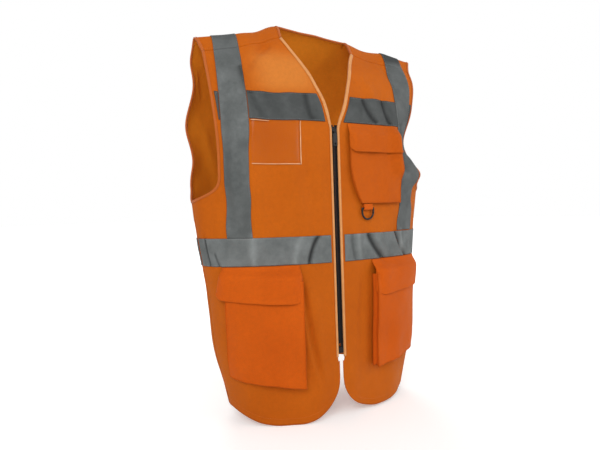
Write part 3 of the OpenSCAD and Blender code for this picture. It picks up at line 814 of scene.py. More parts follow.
M_BODY = cloth_material("orange_body_weave", rgb(0.570, 0.120, 0.0060), rgb(0.490, 0.096, 0.0046))
# inner face: yellower than the outside, and made lighter with a faint glow, as painted light coming
# through and into the vest
M_INSIDE = cloth_material("ochre_lining_weave_lightened_painted_glow", rgb(0.760, 0.235, 0.0150), rgb(0.650, 0.195, 0.0120),
                          sheen=0.1, glow=0.05)
M_POCKET = cloth_material("orange_pocket_weave", rgb(0.645, 0.106, 0.0060), rgb(0.565, 0.088, 0.0048),
                          sheen=0.15)
M_CHEST = cloth_material("orange_chest_weave", rgb(0.590, 0.108, 0.0060), rgb(0.520, 0.090, 0.0048),
                         sheen=0.12)
# the front chest tapes get a darkened copy of the tape (painted shade) and the waist tapes a lightened
# copy (painted light)
M_TAPE = tape_material("silver_tape", 0.90)
M_TAPE_PAINTED_SHADE = tape_material("silver_tape_in_shade", 0.58)
M_TAPE_PAINTED_LIGHT = tape_material("silver_tape_in_light", 1.24)
M_BIND = ribbed_material("peach_edge_binding", rgb(0.78, 0.38, 0.135), rgb(0.58, 0.20, 0.045))
M_BIND_ORANGE = ribbed_material("orange_edge_binding", rgb(0.53, 0.120, 0.009), rgb(0.44, 0.092, 0.006))
# pale piping colour: a painted highlight along the window's edges
M_RIM = ribbed_material("vinyl_edge_piping_painted_highlight", rgb(0.95, 0.62, 0.34), rgb(0.52, 0.110, 0.008), 0.0011)
M_THREAD = ribbed_material("orange_thread", rgb(0.72, 0.19, 0.02), rgb(0.50, 0.11, 0.01),
                           0.0008, 0.5, 0.1)
M_TAPE_THREAD = ribbed_material("grey_thread", rgb(0.34, 0.35, 0.35), rgb(0.20, 0.21, 0.21),
                                0.0008, 0.5, 0.1)
M_WINDOW = window_material("clear_vinyl")
M_ZIP_TAPE = ribbed_material("black_zip_ribbon", rgb(0.010, 0.008, 0.008), rgb(0.004, 0.003, 0.003),
                             0.0009, 0.8, 0.0)
M_HOOKS = ribbed_material("black_hook_pile", rgb(0.030, 0.028, 0.028), rgb(0.010, 0.009, 0.009),
                          0.0012, 0.8, 0.3)
M_PLASTIC = plastic_material("black_moulded_plastic", rgb(0.007, 0.007, 0.008), 0.36)
M_TEETH = plastic_material("black_moulded_teeth", rgb(0.006, 0.006, 0.007), 0.34, wear=0.5, shine=0.25)
M_METAL = plastic_material("dark_painted_metal", rgb(0.030, 0.029, 0.028), 0.32, 0.6)


# ---------------------------------------------------------------- panels
TUCK = 702.5
SEAM_END = 89.93
# centre and size in mm of the painted highlight on the near upper chest
PALE_AT = (-86.0, 633.0)
PALE_SIZE = (56.0, 36.0)


def seam_dip(t):
    """Cloth drawn in along the side seams."""
    return -0.9 * fade(np.abs(t), T_SIDE - 1.6, T_SIDE)


def tuck(q):
    """The front goes under the back at the shoulder seam."""
    return -0.5 * fade(q, -SEAM_Q - 1.6, -SEAM_Q)


def to_seam(t):
    """Draws the outer edge of a panel on to the side seam, where the next panel begins."""
    return t * mix(1.0, SEAM_END / T_SIDE, fade(np.abs(t), T_SIDE - 1.5, T_SIDE))


def catch_light(p):
    """0 to 1 where a painted highlight lies on the near upper chest, standing in for the light it
    catches.
    """
    x, z = p[..., 0], p[..., 2]
    across = np.exp(-((x - PALE_AT[0]) / PALE_SIZE[0]) ** 4)
    return across * np.exp(-((z - PALE_AT[1]) / PALE_SIZE[1]) ** 4)


def front_panel(side, label):
    """One front, its rows closer together at the hem corner, the armhole's foot and the shoulder."""
    rows = spaced((0, 60, 4), (60, 90, 2), (90, HEM_ROWS, 4), (HEM_ROWS, 400, 4), (400, 430, 1.5),
                  (430, V_END, 3.2), (V_END, 697, 3.2), (697, TUCK, 0.9))
    cols = np.linspace(0.0, 1.0, 76) ** 1.2
    r = rows[:, None] + 0.0 * cols[None, :]
    t = -mix(neck_front(r), arm_front(row_height(r)), cols[None, :])[:, ::-1]
    q = row_q(t, r)
    t, q = oriented(side, flip_t(side, t), q)
    offset = CLOTH_T + seam_dip(t) + tuck(q)
    obj = on_cloth("cloth_front_" + label, to_seam(t), q, offset, CLOTH_T, M_BODY, M_INSIDE)
    # share of the painted highlight on the near upper chest
    point_values(obj, "pale", catch_light(surf(t, q)))
    settle_front(obj, label, "front_panel_")


def back_panel():
    """The back, in rows over the shoulders and then down between the armholes to the hem."""
    q_turn = float(q_back(ARM_BACK, V_END))
    over = spaced((-SEAM_Q, 60, 2.4), (60, q_turn - 2.5, 3.2))
    down = spaced((V_END, 430, 3.2), (430, ARM_Z, 1.5), (ARM_Z, BACK_RISE + 5.0, 4.2))
    neck = T_NECK * sind(np.linspace(0, 90, 26))
    wrap = np.linspace(T_NECK, T_SEAM, 5)[1:]
    outer = np.linspace(0, 1, 56)[1:]

    def row(arm_t):
        return np.concatenate([neck, wrap, mix(T_SEAM, float(arm_t), outer)])

    half = []
    for arm_q in over:
        ts = row(arm_back(arm_q, OPEN_Z))
        share = (arm_q + SEAM_Q) / (q_turn + SEAM_Q)
        half.append((ts, mix(back_top(ts), q_back(ts, V_END), share)))
    for z in down:
        ts = row(arm_back(q_back(ARM_BACK, z), z))
        half.append((ts, q_back(ts, z)))
    ts = row(T_SIDE)
    half.append((ts, q_back(ts, hem_back(ts))))
    t = np.array([np.concatenate([-a[:0:-1], a]) for a, _ in half])
    q = np.array([np.concatenate([b[:0:-1], b]) for _, b in half])
    obj = on_cloth("cloth_back", to_seam(t), q, CLOTH_T + seam_dip(t), CLOTH_T, M_BODY, M_INSIDE)
    settle(obj, "back", "back_panel")


for side, label in SIDES:
    front_panel(side, label)
back_panel()


# ---------------------------------------------------------------- bindings
def refine(t, q, step=3.0):
    """Resamples a path of t and q at an even step along the body, in mm."""
    length = run_lengths(surf(t, q))
    count = max(2, int(length[-1] / step) + 1)
    s = np.linspace(0.0, length[-1], count)
    return np.interp(s, length, t), np.interp(s, length, q)


BIND_HI = CLOTH_T + 0.4
BIND_BACK = 2.6
NARROW_BIND = 0.68
BIND_STITCH = 2.4
# outline of the folded strip: distance in from the edge and height over the inner face, in mm
BIND_SECTION = np.array([
    (BIND_W, BIND_HI + 0.45), (BIND_W - 0.5, BIND_HI + 0.7), (BIND_W * 0.55, BIND_HI + 0.85),
    (1.2, BIND_HI + 0.9), (-0.3, BIND_HI + 0.8), (-0.9, BIND_HI + 0.4), (-1.1, 0.4), (-0.9, -0.7),
    (-0.2, -1.05), (1.0, -1.1), (BIND_BACK - 0.4, -1.0), (BIND_BACK, -0.8), (BIND_BACK, -0.35),
    (-0.4, -0.4), (-0.4, BIND_HI), (BIND_W, BIND_HI),
])


def inward_steps(t, q, side):
    """Change of t and q for one mm away from a path's edge, into the cloth."""
    points = surf(t, q)
    tangent = np.gradient(points, axis=0)
    into = side * np.cross(normal(t, q), tangent)
    into /= np.linalg.norm(into, axis=-1, keepdims=True)
    d_t, d_q = slopes(t, q)
    per_t = np.sum(into * d_t, axis=-1) / np.sum(d_t * d_t, axis=-1)
    per_q = np.sum(into * d_q, axis=-1) / np.sum(d_q * d_q, axis=-1)
    return per_t, per_q


def binding(name, t, q, side, material=M_BIND_ORANGE, high_share=NARROW_BIND):
    """Folded strip round an edge; high_share is its width above the zip, against its full width."""
    t, q = refine(t, q)
    per_t, per_q = inward_steps(t, q, side)
    share = mix(NARROW_BIND, high_share, fade(surf(t, q)[..., 2], ZIP_TOP, ZIP_TOP + 40.0))
    inset, height = BIND_SECTION[None, :, 0], BIND_SECTION[None, :, 1]
    across = np.minimum(inset, 0.0) + np.maximum(inset, 0.0) * share[:, None]
    ring_t = t[:, None] + across * per_t[:, None]
    ring_q = q[:, None] + across * per_q[:, None]
    points = place(ring_t, ring_q, height + 0.0 * ring_t)
    rows, cols = points.shape[:2]
    faces = grid_faces(rows, cols, closed=True)
    faces += [tuple(range(cols))[::-1], tuple(range((rows - 1) * cols, rows * cols))]
    if side < 0:
        faces = [f[::-1] for f in faces]
    along = run_lengths(points[:, 0])
    uv = np.stack(np.broadcast_arrays(inset + height, along[:, None]), axis=-1)
    return mesh_object(name, points.reshape(-1, 3), faces, uv.reshape(-1, 2) * MM, material)


ARM_ROWS = spaced((ARM_Z, 430, 1.5), (430, V_END, 5), (V_END, TOP_ROW, 5))


def front_arm_path():
    """Edge of a front round its armhole, on the vest's right."""
    t = arm_front(row_height(ARM_ROWS))
    return -t, row_q(-t, ARM_ROWS)


def back_arm_path():
    over = spaced((-SEAM_Q, 60, 4), (60, 136, 5))
    down = spaced((V_END, 430, 5), (430, ARM_Z, 1.5))
    t = np.concatenate([arm_back(over, OPEN_Z), arm_back(FAR_Q, down)])
    q = np.concatenate([over, q_back(t[len(over):], down)])
    return -t, q


def front_edge_path():
    """Edge of a front from the hem corner up along the zip and the neckline."""
    rows = spaced((92, HEM_ROWS, 4), (HEM_ROWS, ZIP_TOP, 6), (ZIP_TOP, V_END, 3), (V_END, TOP_ROW, 5))
    t = neck_front(rows)
    return -t, row_q(-t, rows)


def neck_path():
    """Edge of the back round the neck, from one shoulder seam to the other."""
    wrap_t = np.linspace(T_SEAM, T_NECK, 9)
    wrap_q = back_top(wrap_t)
    around = np.linspace(-90, 90, 41)[1:-1]
    t = np.concatenate([-wrap_t, T_NECK * sind(around), wrap_t[::-1]])
    q = np.concatenate([wrap_q, BACK_SCOOP * cosd(around), wrap_q[::-1]])
    return t, q


def edge_bindings(side, label):
    """The three bindings of one side: front armhole, back armhole and front edge."""
    t, q = front_arm_path()
    piece = binding("binding_front_armhole_" + label, flip_t(side, t), q, side)
    settle_front(piece, label, "front_armhole_binding_")
    t, q = back_arm_path()
    piece = binding("binding_back_armhole_" + label, flip_t(side, t), q, side)
    settle(piece, "back", "back_armhole_binding_" + label)
    t, q = front_edge_path()
    piece = binding("binding_front_edge_" + label, flip_t(side, t), q, -side, M_BIND, 1.0)
    settle_front(piece, label, "front_edge_binding_")


for side, label in SIDES:
    edge_bindings(side, label)
settle(binding("binding_back_neck", *neck_path(), 1), "back", "back_neck_binding")


# ---------------------------------------------------------------- reflective tapes
TAPE_TOP = TAPE_O + TAPE_T
WAIST_STRIP = (WAIST_Z - TAPE_W, WAIST_Z)
CHEST_STRIP = (CHEST_Z - TAPE_W, CHEST_Z)
BRACE_FOOT = WAIST_Z + 0.6
BRACE_DRIFT = 2.2
BRACE_BEND = 210.0
BRACE_ACROSS = np.linspace(-BRACE_OUT, -BRACE_IN, 22)


def tape_strip(t0, t1, z0, z1, side_of_body, step_t=1.8, step_z=2.4):
    """Grid over a strip between two angles (functions of height) and two heights."""
    zs = np.linspace(z0, z1, max(3, int((z1 - z0) / step_z)))
    if side_of_body == BACK:
        zs = zs[::-1]
    low, high = t0(zs), t1(zs)
    cols = max(3, int(abs(float(np.mean(high - low))) * ARC / step_t))
    t = mix(low[:, None], high[:, None], np.linspace(0.0, 1.0, cols)[None, :])
    z = zs[:, None] + 0.0 * t
    q = q_back(t, z) if side_of_body == BACK else q_front(t, z)
    return t, q


def front_strip(side, inner, outer, z0, z1):
    """Strip on one front, between an edge near the zip and an edge near the side."""
    if side == LEFT:
        return tape_strip(inner, outer, z0, z1, FRONT)
    return tape_strip(lambda z: -outer(z), lambda z: -inner(z), z0, z1, FRONT)


def constant(value):
    """An edge or depth that is the same everywhere."""
    return lambda z: value + 0.0 * z


def join_grids(name, grids, thickness, material):
    """One piece from several grids of points."""
    points, faces, uvs = [], [], []
    for grid in grids:
        rows, cols = grid.shape[:2]
        first = sum(len(p) for p in points)
        points.append(grid.reshape(-1, 3))
        faces += grid_faces(rows, cols, first)
        uvs.append(grid_uv(grid))
    obj = mesh_object(name, np.concatenate(points), faces, np.concatenate(uvs), material)
    return thicken(obj, thickness)


def tape_piece(name, strips, material=M_TAPE):
    """Tape made of one or more strips, with painted shade along the drawn creases and a painted
    highlight on low crests.
    """
    grids = [place(t, q, TAPE_TOP) for t, q in strips]
    obj = join_grids(name, grids, TAPE_T, material)
    crease_shading = [creases(t, q, surf(t, q)).ravel() for t, q in strips]
    point_values(obj, "crease", np.concatenate(crease_shading))
    return obj


def in_edge(z):
    return neck_front(z) + EDGE_IN


def waist_edge(z):
    return neck_front(z) + EDGE_WAIST


def out_edge(z):
    return arm_front(z) - EDGE_OUT


def back_edge(z):
    return arm_back(FAR_Q, z) - EDGE_BACK


def brace_t(side, t, r):
    """Angle across a front brace: drawn in above the waist, its foot drifting to the vest's right."""
    narrow = 0.1 * fade(r, 535.0, 485.0) * fade(r, 350.0, 390.0)
    drift = BRACE_DRIFT * fade(r, 415.0, 350.0)
    return side * (BRACE_MID + (t - BRACE_MID) * (1.0 - narrow)) - drift


def brace(side, label):
    """Upright tape of one front, from the waist tape to the shoulder seam."""
    rows = spaced((BRACE_FOOT, V_END, 3.0), (V_END, TOP_ROW, 3.0))
    t, r = np.meshgrid(BRACE_ACROSS, rows)
    strip = oriented(side, brace_t(side, -t, r), row_q(t, r))
    piece = tape_piece("tape_brace_" + label, [strip])
    settle_front(piece, label, "brace_tape_")


def shoulder_tape(side, label):
    """The same tape over the shoulder and down the back, as far as the back's waist tape."""
    over = spaced((-SEAM_Q, 60, 2.4), (60, BRACE_BEND, 3.2))
    low = np.linspace(0, 1, 40)[1:]
    t, q = np.meshgrid(BRACE_ACROSS, over)
    q_end = q_back(BRACE_ACROSS, BRACE_FOOT)
    q = np.concatenate([q, mix(BRACE_BEND, q_end[None, :], low[:, None])])
    t = np.concatenate([t, np.repeat(BRACE_ACROSS[None, :], len(low), axis=0)])
    strip = oriented(side, flip_t(side, t), q)
    piece = tape_piece("tape_shoulder_" + label, [strip])
    settle(piece, "back", "shoulder_tape_" + label)


def front_cross_tapes(side, label):
    """Chest tape on both sides of the brace, and waist tape, of one front."""
    strips = [front_strip(side, in_edge, constant(BRACE_IN - TAPE_GAP), *CHEST_STRIP),
              front_strip(side, constant(BRACE_OUT + TAPE_GAP), out_edge, *CHEST_STRIP)]
    piece = tape_piece("tape_chest_" + label, strips, M_TAPE_PAINTED_SHADE)
    settle_front(piece, label, "chest_tape_")
    strip = front_strip(side, waist_edge, constant(T_SIDE - SIDE_IN), *WAIST_STRIP)
    piece = tape_piece("tape_waist_" + label, [strip], M_TAPE_PAINTED_LIGHT)
    settle(piece, "front_" + label, "waist_tape_" + label)


def back_cross_tapes():
    """Chest tape in three runs between the uprights, and one waist tape."""
    middle, out = BRACE_IN - TAPE_GAP, BRACE_OUT + TAPE_GAP
    strips = [
        tape_strip(constant(-middle), constant(middle), *CHEST_STRIP, BACK),
        tape_strip(lambda z: -back_edge(z), constant(-out), *CHEST_STRIP, BACK),
        tape_strip(constant(out), back_edge, *CHEST_STRIP, BACK),
    ]
    settle(tape_piece("tape_back_chest", strips), "back", "back_chest_tape")
    strips = [tape_strip(constant(-T_SIDE + SIDE_IN), constant(T_SIDE - SIDE_IN), *WAIST_STRIP, BACK)]
    piece = tape_piece("tape_back_waist", strips, M_TAPE_PAINTED_LIGHT)
    settle(piece, "back", "back_waist_tape")


for side, label in SIDES:
    brace(side, label)
    shoulder_tape(side, label)
    front_cross_tapes(side, label)
back_cross_tapes()


# ---------------------------------------------------------------- pockets
# side of a bellows pocket from the cloth to its face: step in from the edge in mm, share of depth
PLEAT = [(1.6, 0.0), (0.6, 0.12), (0.5, 0.30), (3.8, 0.46),
         (4.2, 0.54), (1.1, 0.72), (0.0, 0.90), (0.4, 1.0)]
PLEAT_STEP = 2.4
POUCH_WIDE, POUCH_TALL = 70, 60
POUCH_T = 0.9
POUCH_O = TAPE_O + POUCH_T


def pouch_in(z):
    """Angle of a lower pouch's inner edge."""
    return mix(IN_LOW, IN_TOP, (z - POUCH_Z) / (POUCH_TOP - POUCH_Z))


def pouch_out(z):
    """Angle of its outer edge."""
    return mix(OUT_LOW, OUT_TOP, (z - POUCH_Z) / (POUCH_TOP - POUCH_Z))


def low_depth(t):
    """Depth of a lower pouch, shallower towards the side of the body."""
    return POUCH_D * (1.0 - SIDE_FLAT * np.clip((np.abs(t) - IN_LOW) / 50.0, 0.0, 1.0))


def crowned(u, v, puff):
    """Height of a pouch's face over its depth: crowned, rolled at the rim, slack at the mouth."""
    edge = np.minimum(np.minimum(u, 1 - u) / 0.5, v / 0.6)
    crown = puff * smooth(edge) * (1.0 - 0.35 * v) + POUCH_T
    rim = 0.7 * np.exp(-(np.minimum(np.minimum(u, 1 - u) * 190.0, v * 190.0) / 3.0) ** 2)
    slack = -2.2 * fade(v, 0.8, 1.0) * np.sin(np.pi * u) ** 2
    return crown - 0.6 * rim + slack


def gusset(edge_t, edge_z, step_u, step_v, depth):
    """Rings of t, q and o from the cloth up to the edge of the face, folded like a bellows."""
    radius = half_width(edge_z) * math.pi / 180.0
    rings = []
    for inset, share in PLEAT:
        t = edge_t + step_u * inset / radius
        rings.append((t, q_front(t, edge_z + step_v * inset), POUCH_O + share * depth(t)))
    return rings


def bellows(name, side, t_in, t_out, rise, z_low, z_top, depth, puff, material):
    """Pleated pouch: a crowned face on a folded gusset down both sides and along the bottom."""
    wide, tall = POUCH_WIDE, POUCH_TALL
    u, v = unit_grid(tall, wide)
    z = mix(z_low + rise * (1.0 - u), z_top, v)
    t = mix(-t_out(z), -t_in(z), u)
    face_o = TAPE_O + depth(t) + crowned(u, v, puff)
    loop = [(j, 0) for j in range(tall - 1, 0, -1)] + [(0, i) for i in range(wide)]
    loop += [(j, wide - 1) for j in range(1, tall)]
    jj, ii = np.array(loop).T
    step_u = np.where(ii == 0, 1.0, np.where(ii == wide - 1, -1.0, 0.0))
    step_v = np.where(jj == 0, 1.0, 0.0)
    edge_t, edge_z = t[jj, ii], z[jj, ii]
    rings = gusset(edge_t, edge_z, step_u, step_v, depth)
    face = (t.ravel(), q_front(t, z).ravel(), face_o.ravel())
    all_t, all_q, all_o = (np.concatenate(parts) for parts in zip(face, *rings))
    all_t = flip_t(side, all_t)
    sag = waves(surf(all_t, all_q), 42.0, (1.0, 1.0, 1.6), 41 + side) * 0.9
    sag = sag * smooth((all_o - POUCH_O) / depth(all_t))
    points = place(all_t, all_q, all_o + sag)
    faces = grid_faces(tall, wide)
    count = len(loop)
    levels = [[tall * wide + k * count + i for i in range(count)] for k in range(len(rings))]
    levels.append([j * wide + i for j, i in loop])
    for here, there in zip(levels, levels[1:]):
        faces += [(here[i], here[i + 1], there[i + 1], there[i]) for i in range(count - 1)]
    if side > 0:
        faces = [f[::-1] for f in faces]
    along = run_lengths(np.stack([edge_t * ARC, edge_z], axis=-1))
    climb = PLEAT_STEP * np.arange(len(rings))
    uv_face = np.stack([t * ARC, z], axis=-1).reshape(-1, 2)
    uv_ring = np.stack(np.broadcast_arrays(climb[:, None], along[None, :]), axis=-1).reshape(-1, 2)
    obj = mesh_object(name, points, faces, np.concatenate([uv_face, uv_ring]) * MM, material)
    return thicken(obj, POUCH_T)


FLAP_U, FLAP_V = unit_grid(34, 72)
FLAP_TOP = WAIST_Z - TAPE_W - 1.0
CHEST_FLAP_TOP = CHEST_Z - TAPE_W - 1.0
LEFT_POUCH_UP = 12.0


def stand(u, h):
    """Height of a flap over its pouch, less near its two ends."""
    return h * (0.55 + 0.45 * (1.0 - np.abs(2.0 * u - 1.0) ** 9))


def flap_low(u, z):
    """Lower edge of a flap, with rounded corners."""
    return z + 9.0 * np.maximum(0.0, 1.0 - np.minimum(u, 1.0 - u) / 0.1) ** 2


def flap_grid(t, z, depth, reach_share, side, seed):
    """Flap that bends off the cloth and hangs over its pouch."""
    u, v = FLAP_U, FLAP_V
    o = TAPE_O + FLAP_T + stand(u, depth(t) + FLAP_AIR) * fade(v, 1.0, 1.0 - reach_share)
    t = flip_t(side, t + 0.0 * v)
    q = q_front(t, z)
    o = o + waves(surf(t, q), 50.0, (1.0, 1.0, 1.4), seed) * 0.8 * fade(v, 1.0, 0.6)
    o = o + 2.0 * fade(v, 0.12, 0.0) * (np.sin(u * 9.0 + seed) * 0.5 + 0.3)
    return place(*oriented(side, t, q, o))


def hang_flap(name, grid, material, node):
    """A flap sewn along its upper edge, made from its grid with its transform baked, in place of a node
    of the frame.
    """
    flap = sheet(name, grid, FLAP_T, material)
    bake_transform(flap)
    stand_for(node)


def lower_pocket(side, label):
    """Bellows pouch and flap under the waist tape; the left pouch starts a little higher."""
    low = POUCH_Z + (LEFT_POUCH_UP if side == LEFT else 0.0)
    pouch = bellows("pocket_pouch_" + label, side, pouch_in, pouch_out, POUCH_RISE, low, POUCH_TOP,
                    low_depth, 2.2, M_POCKET)
    settle(pouch, "front_" + label, "pouch_" + label)
    z = mix(flap_low(FLAP_U, FLAP_Z) + FLAP_RISE * (1.0 - FLAP_U), FLAP_TOP, FLAP_V)
    t = mix(-mix(OUT_LOW - 1.0, OUT_TOP + 1.5, FLAP_V), -IN_TOP + 0.1, FLAP_U)
    grid = flap_grid(t, z, low_depth, 0.36, side, 60 + side)
    hang_flap("pocket_flap_" + label, grid, M_POCKET,
              "flap_" + label)


def chest_pocket():
    """Smaller pouch and flap under the left chest tape."""
    pouch = bellows("chest_pocket_pouch", LEFT, chest_in, constant(CHEST_OUT), 0.0, CHEST_LOW, CHEST_TOP,
                    constant(CHEST_D), 1.0, M_CHEST)
    settle(pouch, "front_left", "chest_pouch")
    z = mix(flap_low(FLAP_U, CHEST_FLAP_Z), CHEST_FLAP_TOP, FLAP_V)
    t = mix(-CHEST_OUT - 0.3, 0.6 - float(chest_in(500.0)), FLAP_U)
    grid = flap_grid(t, z, constant(CHEST_D), 0.45, LEFT, 71)
    hang_flap("chest_pocket_flap", grid, M_CHEST,
              "chest_flap")


for side, label in SIDES:
    lower_pocket(side, label)
chest_pocket()


# ---------------------------------------------------------------- hook and loop pads
LOWER_PAD = (34, 54, 238, 256)
CHEST_PAD = (18, 28, 497, 513)
PAD_T = 0.7
PAD_STEP = 1.1
# height over the pouch's face and roughness of the pile, both in mm
LOOP = (2.6, 0.35)
HOOK = (4.3, 0.15)


def pad(name, side, patch, depth, kind, body, node, seed):
    """Patch of fastener tape whose pile or hooks stand up as fine relief."""
    t_in, t_out, z_low, z_top = patch
    air, rough = kind
    t, q = tape_strip(constant(-t_out), constant(-t_in), z_low, z_top, FRONT, PAD_STEP, PAD_STEP)
    t, q = oriented(side, flip_t(side, t), q)
    rng = np.random.default_rng(seed)
    pile = rng.uniform(0.0, rough, t.shape)
    pile[0, :] = pile[-1, :] = pile[:, 0] = pile[:, -1] = 0.0
    obj = on_cloth(name, t, q, TAPE_O + depth(t) + air + pile, PAD_T, M_HOOKS)
    settle(obj, body, node)


for side, label in SIDES:
    pad("pad_loop_" + label, side, LOWER_PAD, low_depth, LOOP, "front_" + label, "loop_pad_" + label,
        80 + side)
    pad("pad_hook_" + label, side, LOWER_PAD, low_depth, HOOK, "lower_flap_" + label,
        "hook_pad_" + label, 84 + side)
flat = constant(CHEST_D)
pad("pad_loop_chest", LEFT, CHEST_PAD, flat, LOOP, "front_left", "chest_loop_pad", 90)
pad("pad_hook_chest", LEFT, CHEST_PAD, flat, HOOK, "chest_pocket_flap", "chest_hook_pad", 91)


# ---------------------------------------------------------------- badge window
WIN_Z0 = 470.0
WIN_Z1 = CHEST_FLAP_TOP
WIN_OUT = 39.3
WIN_IN = 16.6
WIN_T = 0.35
RIM_W = 1.6
RIM_T = 0.7
RIM_GAP = 0.5
GLINT_UP = 1.4


def badge_window():
    """Clear sheet, flat at its edges and slightly raised inside them."""
    u, v = unit_grid(34, 40)
    z = mix(WIN_Z0, WIN_Z1, v) + 0.0 * u
    t = mix(-WIN_OUT, -WIN_IN, u) + 0.0 * v
    crown = 2.2 * smooth(np.minimum(u, 1 - u) / 0.09) * smooth(v / 0.11)
    obj = on_cloth("badge_window", t, q_front(t, z), TAPE_O + 0.5 + crown, WIN_T, M_WINDOW)
    settle(obj, "front_right", "id_window")


def window_trim():
    """Piping along the window's foot and inner side, whose pale colour is a painted highlight, and a
    thin strip near its top corner that is only a painted highlight.
    """
    low_z = WIN_Z0 - RIM_GAP - RIM_W
    low = tape_strip(constant(-WIN_OUT - 0.1), constant(-WIN_IN + 0.1), low_z, WIN_Z0 - RIM_GAP, FRONT,
                     2.6, 0.5)
    edge = tape_strip(constant(-WIN_IN + 0.3), constant(-WIN_IN + 0.7), low_z, WIN_Z1, FRONT, 0.5, 2.6)
    # strip that carries nothing but a painted highlight
    glint = tape_strip(constant(-WIN_OUT), constant(-WIN_OUT + 9.0), WIN_Z1 - 2.2, WIN_Z1 - 0.8, FRONT,
                       1.0, 0.4)
    grids = [place(*strip, TAPE_O + RIM_T) for strip in (low, edge)]
    grids.append(place(*glint, TAPE_O + RIM_T + GLINT_UP))
    trim = join_grids("badge_window_trim", grids, RIM_T, M_RIM)
    settle(trim, "front_right", "id_window_trim")


badge_window()
window_trim()


# ---------------------------------------------------------------- stitching
STITCH_IN = 2.0
EDGE_STITCH = 0.6
BRACE_STITCH = 0.5
HEM_STITCH = 12.0
SEAM_STITCH = 4.0
SIDE_STITCH = 1.6


def stitches(name, paths, material, length=2.7, gap=1.2, width=0.42, height=0.34):
    """Rows of sewn thread: one small lozenge for each stitch, half sunk in the cloth."""
    points, faces = [], []
    for t, q, o in paths:
        t, q = refine(t, q, (length + gap) / 2.0)
        if len(t) < 3:
            continue
        line = place(t, q, o)
        up = normal(t, q)
        for i in range(0, len(t) - 1, 2):
            a = line[i]
            b = line[i] + (line[i + 1] - line[i]) * (2.0 * length / (length + gap))
            way = (b - a) / max(np.linalg.norm(b - a), 1e-6)
            side = np.cross(up[i], way)
            middle = (a + b) / 2.0
            first = len(points)
            points += [a, middle + side * width, middle + up[i] * height, middle - side * width,
                       middle - up[i] * height, b]
            for k in range(4):
                m, nxt = first + 1 + k, first + 1 + (k + 1) % 4
                faces += [(first, nxt, m), (m, nxt, first + 5)]
    uv = np.asarray(points)[:, [0, 2]] * MM
    obj = mesh_object(name, points, faces, uv, material)
    return obj


def stitch_rows(strip):
    """Heights of the two stitch rows that hold a level tape."""
    low, top = strip
    return top - STITCH_IN, low + STITCH_IN


def level_row(t0, t1, z, side_of_body):
    """Stitch row along a tape, between two angles."""
    t = np.linspace(t0, t1, max(3, int(abs(t1 - t0) * 1.4)))
    return t, (q_back(t, z) if side_of_body == BACK else q_front(t, z)), TAPE_TOP


def binding_row(t, q, way, sign=1):
    """Stitch row that holds a binding, a little inside the edge of the cloth."""
    per_t, per_q = inward_steps(t, q, way)
    return sign * (t + per_t * BIND_STITCH), q + per_q * BIND_STITCH, BIND_HI + 0.75


def shoulder_row(sign, q):
    """Stitch row beside the shoulder seam."""
    t = np.linspace(T_SEAM + 2.4, ARM_SEAM - 2.4, 40)
    return sign * t, np.full(len(t), q), CLOTH_T


def tape_rows_front(sign):
    """Stitch rows on the tapes of one front."""
    rows = []
    for z in stitch_rows(WAIST_STRIP):
        rows.append(level_row(sign * (float(neck_front(z)) + 3.0), sign * (T_SIDE - 1.5), z, FRONT))
    for z in stitch_rows(CHEST_STRIP):
        inner, outer = float(in_edge(z)) + EDGE_STITCH, float(out_edge(z)) - EDGE_STITCH
        rows.append(level_row(sign * inner, sign * (BRACE_IN - EDGE_STITCH), z, FRONT))
        rows.append(level_row(sign * (BRACE_OUT + EDGE_STITCH), sign * outer, z, FRONT))
    r = spaced((WAIST_Z + 3, V_END, 8), (V_END, 697, 8))
    for t in (BRACE_IN + BRACE_STITCH, BRACE_OUT - BRACE_STITCH):
        rows.append((brace_t(sign, t, r), row_q(np.full(len(r), t), r), TAPE_TOP))
    return rows


def cloth_rows_front(sign):
    """Stitch rows on the cloth of one front: its bindings, shoulder seam and hem."""
    rows = [binding_row(*front_arm_path(), -1, -sign), binding_row(*front_edge_path(), 1, -sign)]
    rows.append(shoulder_row(sign, -SEAM_Q - SEAM_STITCH))
    t = np.linspace(6.0, T_SIDE - 1.0, 120)
    rows.append((sign * t, q_front(t, hem_front(t) + HEM_STITCH), CLOTH_T))
    return rows


def tape_rows_back():
    rows = [level_row(-T_SIDE + 1.5, T_SIDE - 1.5, z, BACK) for z in stitch_rows(WAIST_STRIP)]
    middle = BRACE_IN - EDGE_STITCH
    rows += [level_row(-middle, middle, z, BACK) for z in stitch_rows(CHEST_STRIP)]
    for sign in (-1, 1):
        for z in stitch_rows(CHEST_STRIP):
            outer = float(back_edge(z)) - EDGE_STITCH
            rows.append(level_row(sign * (BRACE_OUT + EDGE_STITCH), sign * outer, z, BACK))
        for t in (BRACE_IN + BRACE_STITCH, BRACE_OUT - BRACE_STITCH):
            q = np.linspace(-SEAM_Q + 2.0, float(q_back(t, WAIST_Z + 3.0)), 90)
            rows.append((np.full(len(q), sign * t), q, TAPE_TOP))
    return rows


def cloth_rows_back():
    """Stitch rows on the cloth of the back: bindings, shoulder and side seams, neck and hem."""
    rows = []
    for sign in (-1, 1):
        rows.append(binding_row(*back_arm_path(), -1, -sign))
        rows.append(shoulder_row(sign, -SEAM_Q + SEAM_STITCH))
        z = spaced((38, 398, 8))
        t = np.full(len(z), sign * (T_SIDE - SIDE_STITCH))
        rows.append((t, q_back(t, z), CLOTH_T))
    rows.append(binding_row(*neck_path(), 1))
    t = np.linspace(-T_SIDE + 1.0, T_SIDE - 1.0, 200)
    rows.append((t, q_back(t, hem_back(t) + HEM_STITCH), CLOTH_T))
    return rows


for sign, label in SIDES:
    piece = stitches("stitch_tape_" + label, tape_rows_front(sign), M_TAPE_THREAD)
    front_piece(piece)
    piece = stitches("stitch_cloth_" + label, cloth_rows_front(sign), M_THREAD)
    front_piece(piece)
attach(stitches("stitch_tape_back", tape_rows_back(), M_TAPE_THREAD), "back")
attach(stitches("stitch_cloth_back", cloth_rows_back(), M_THREAD), "back")


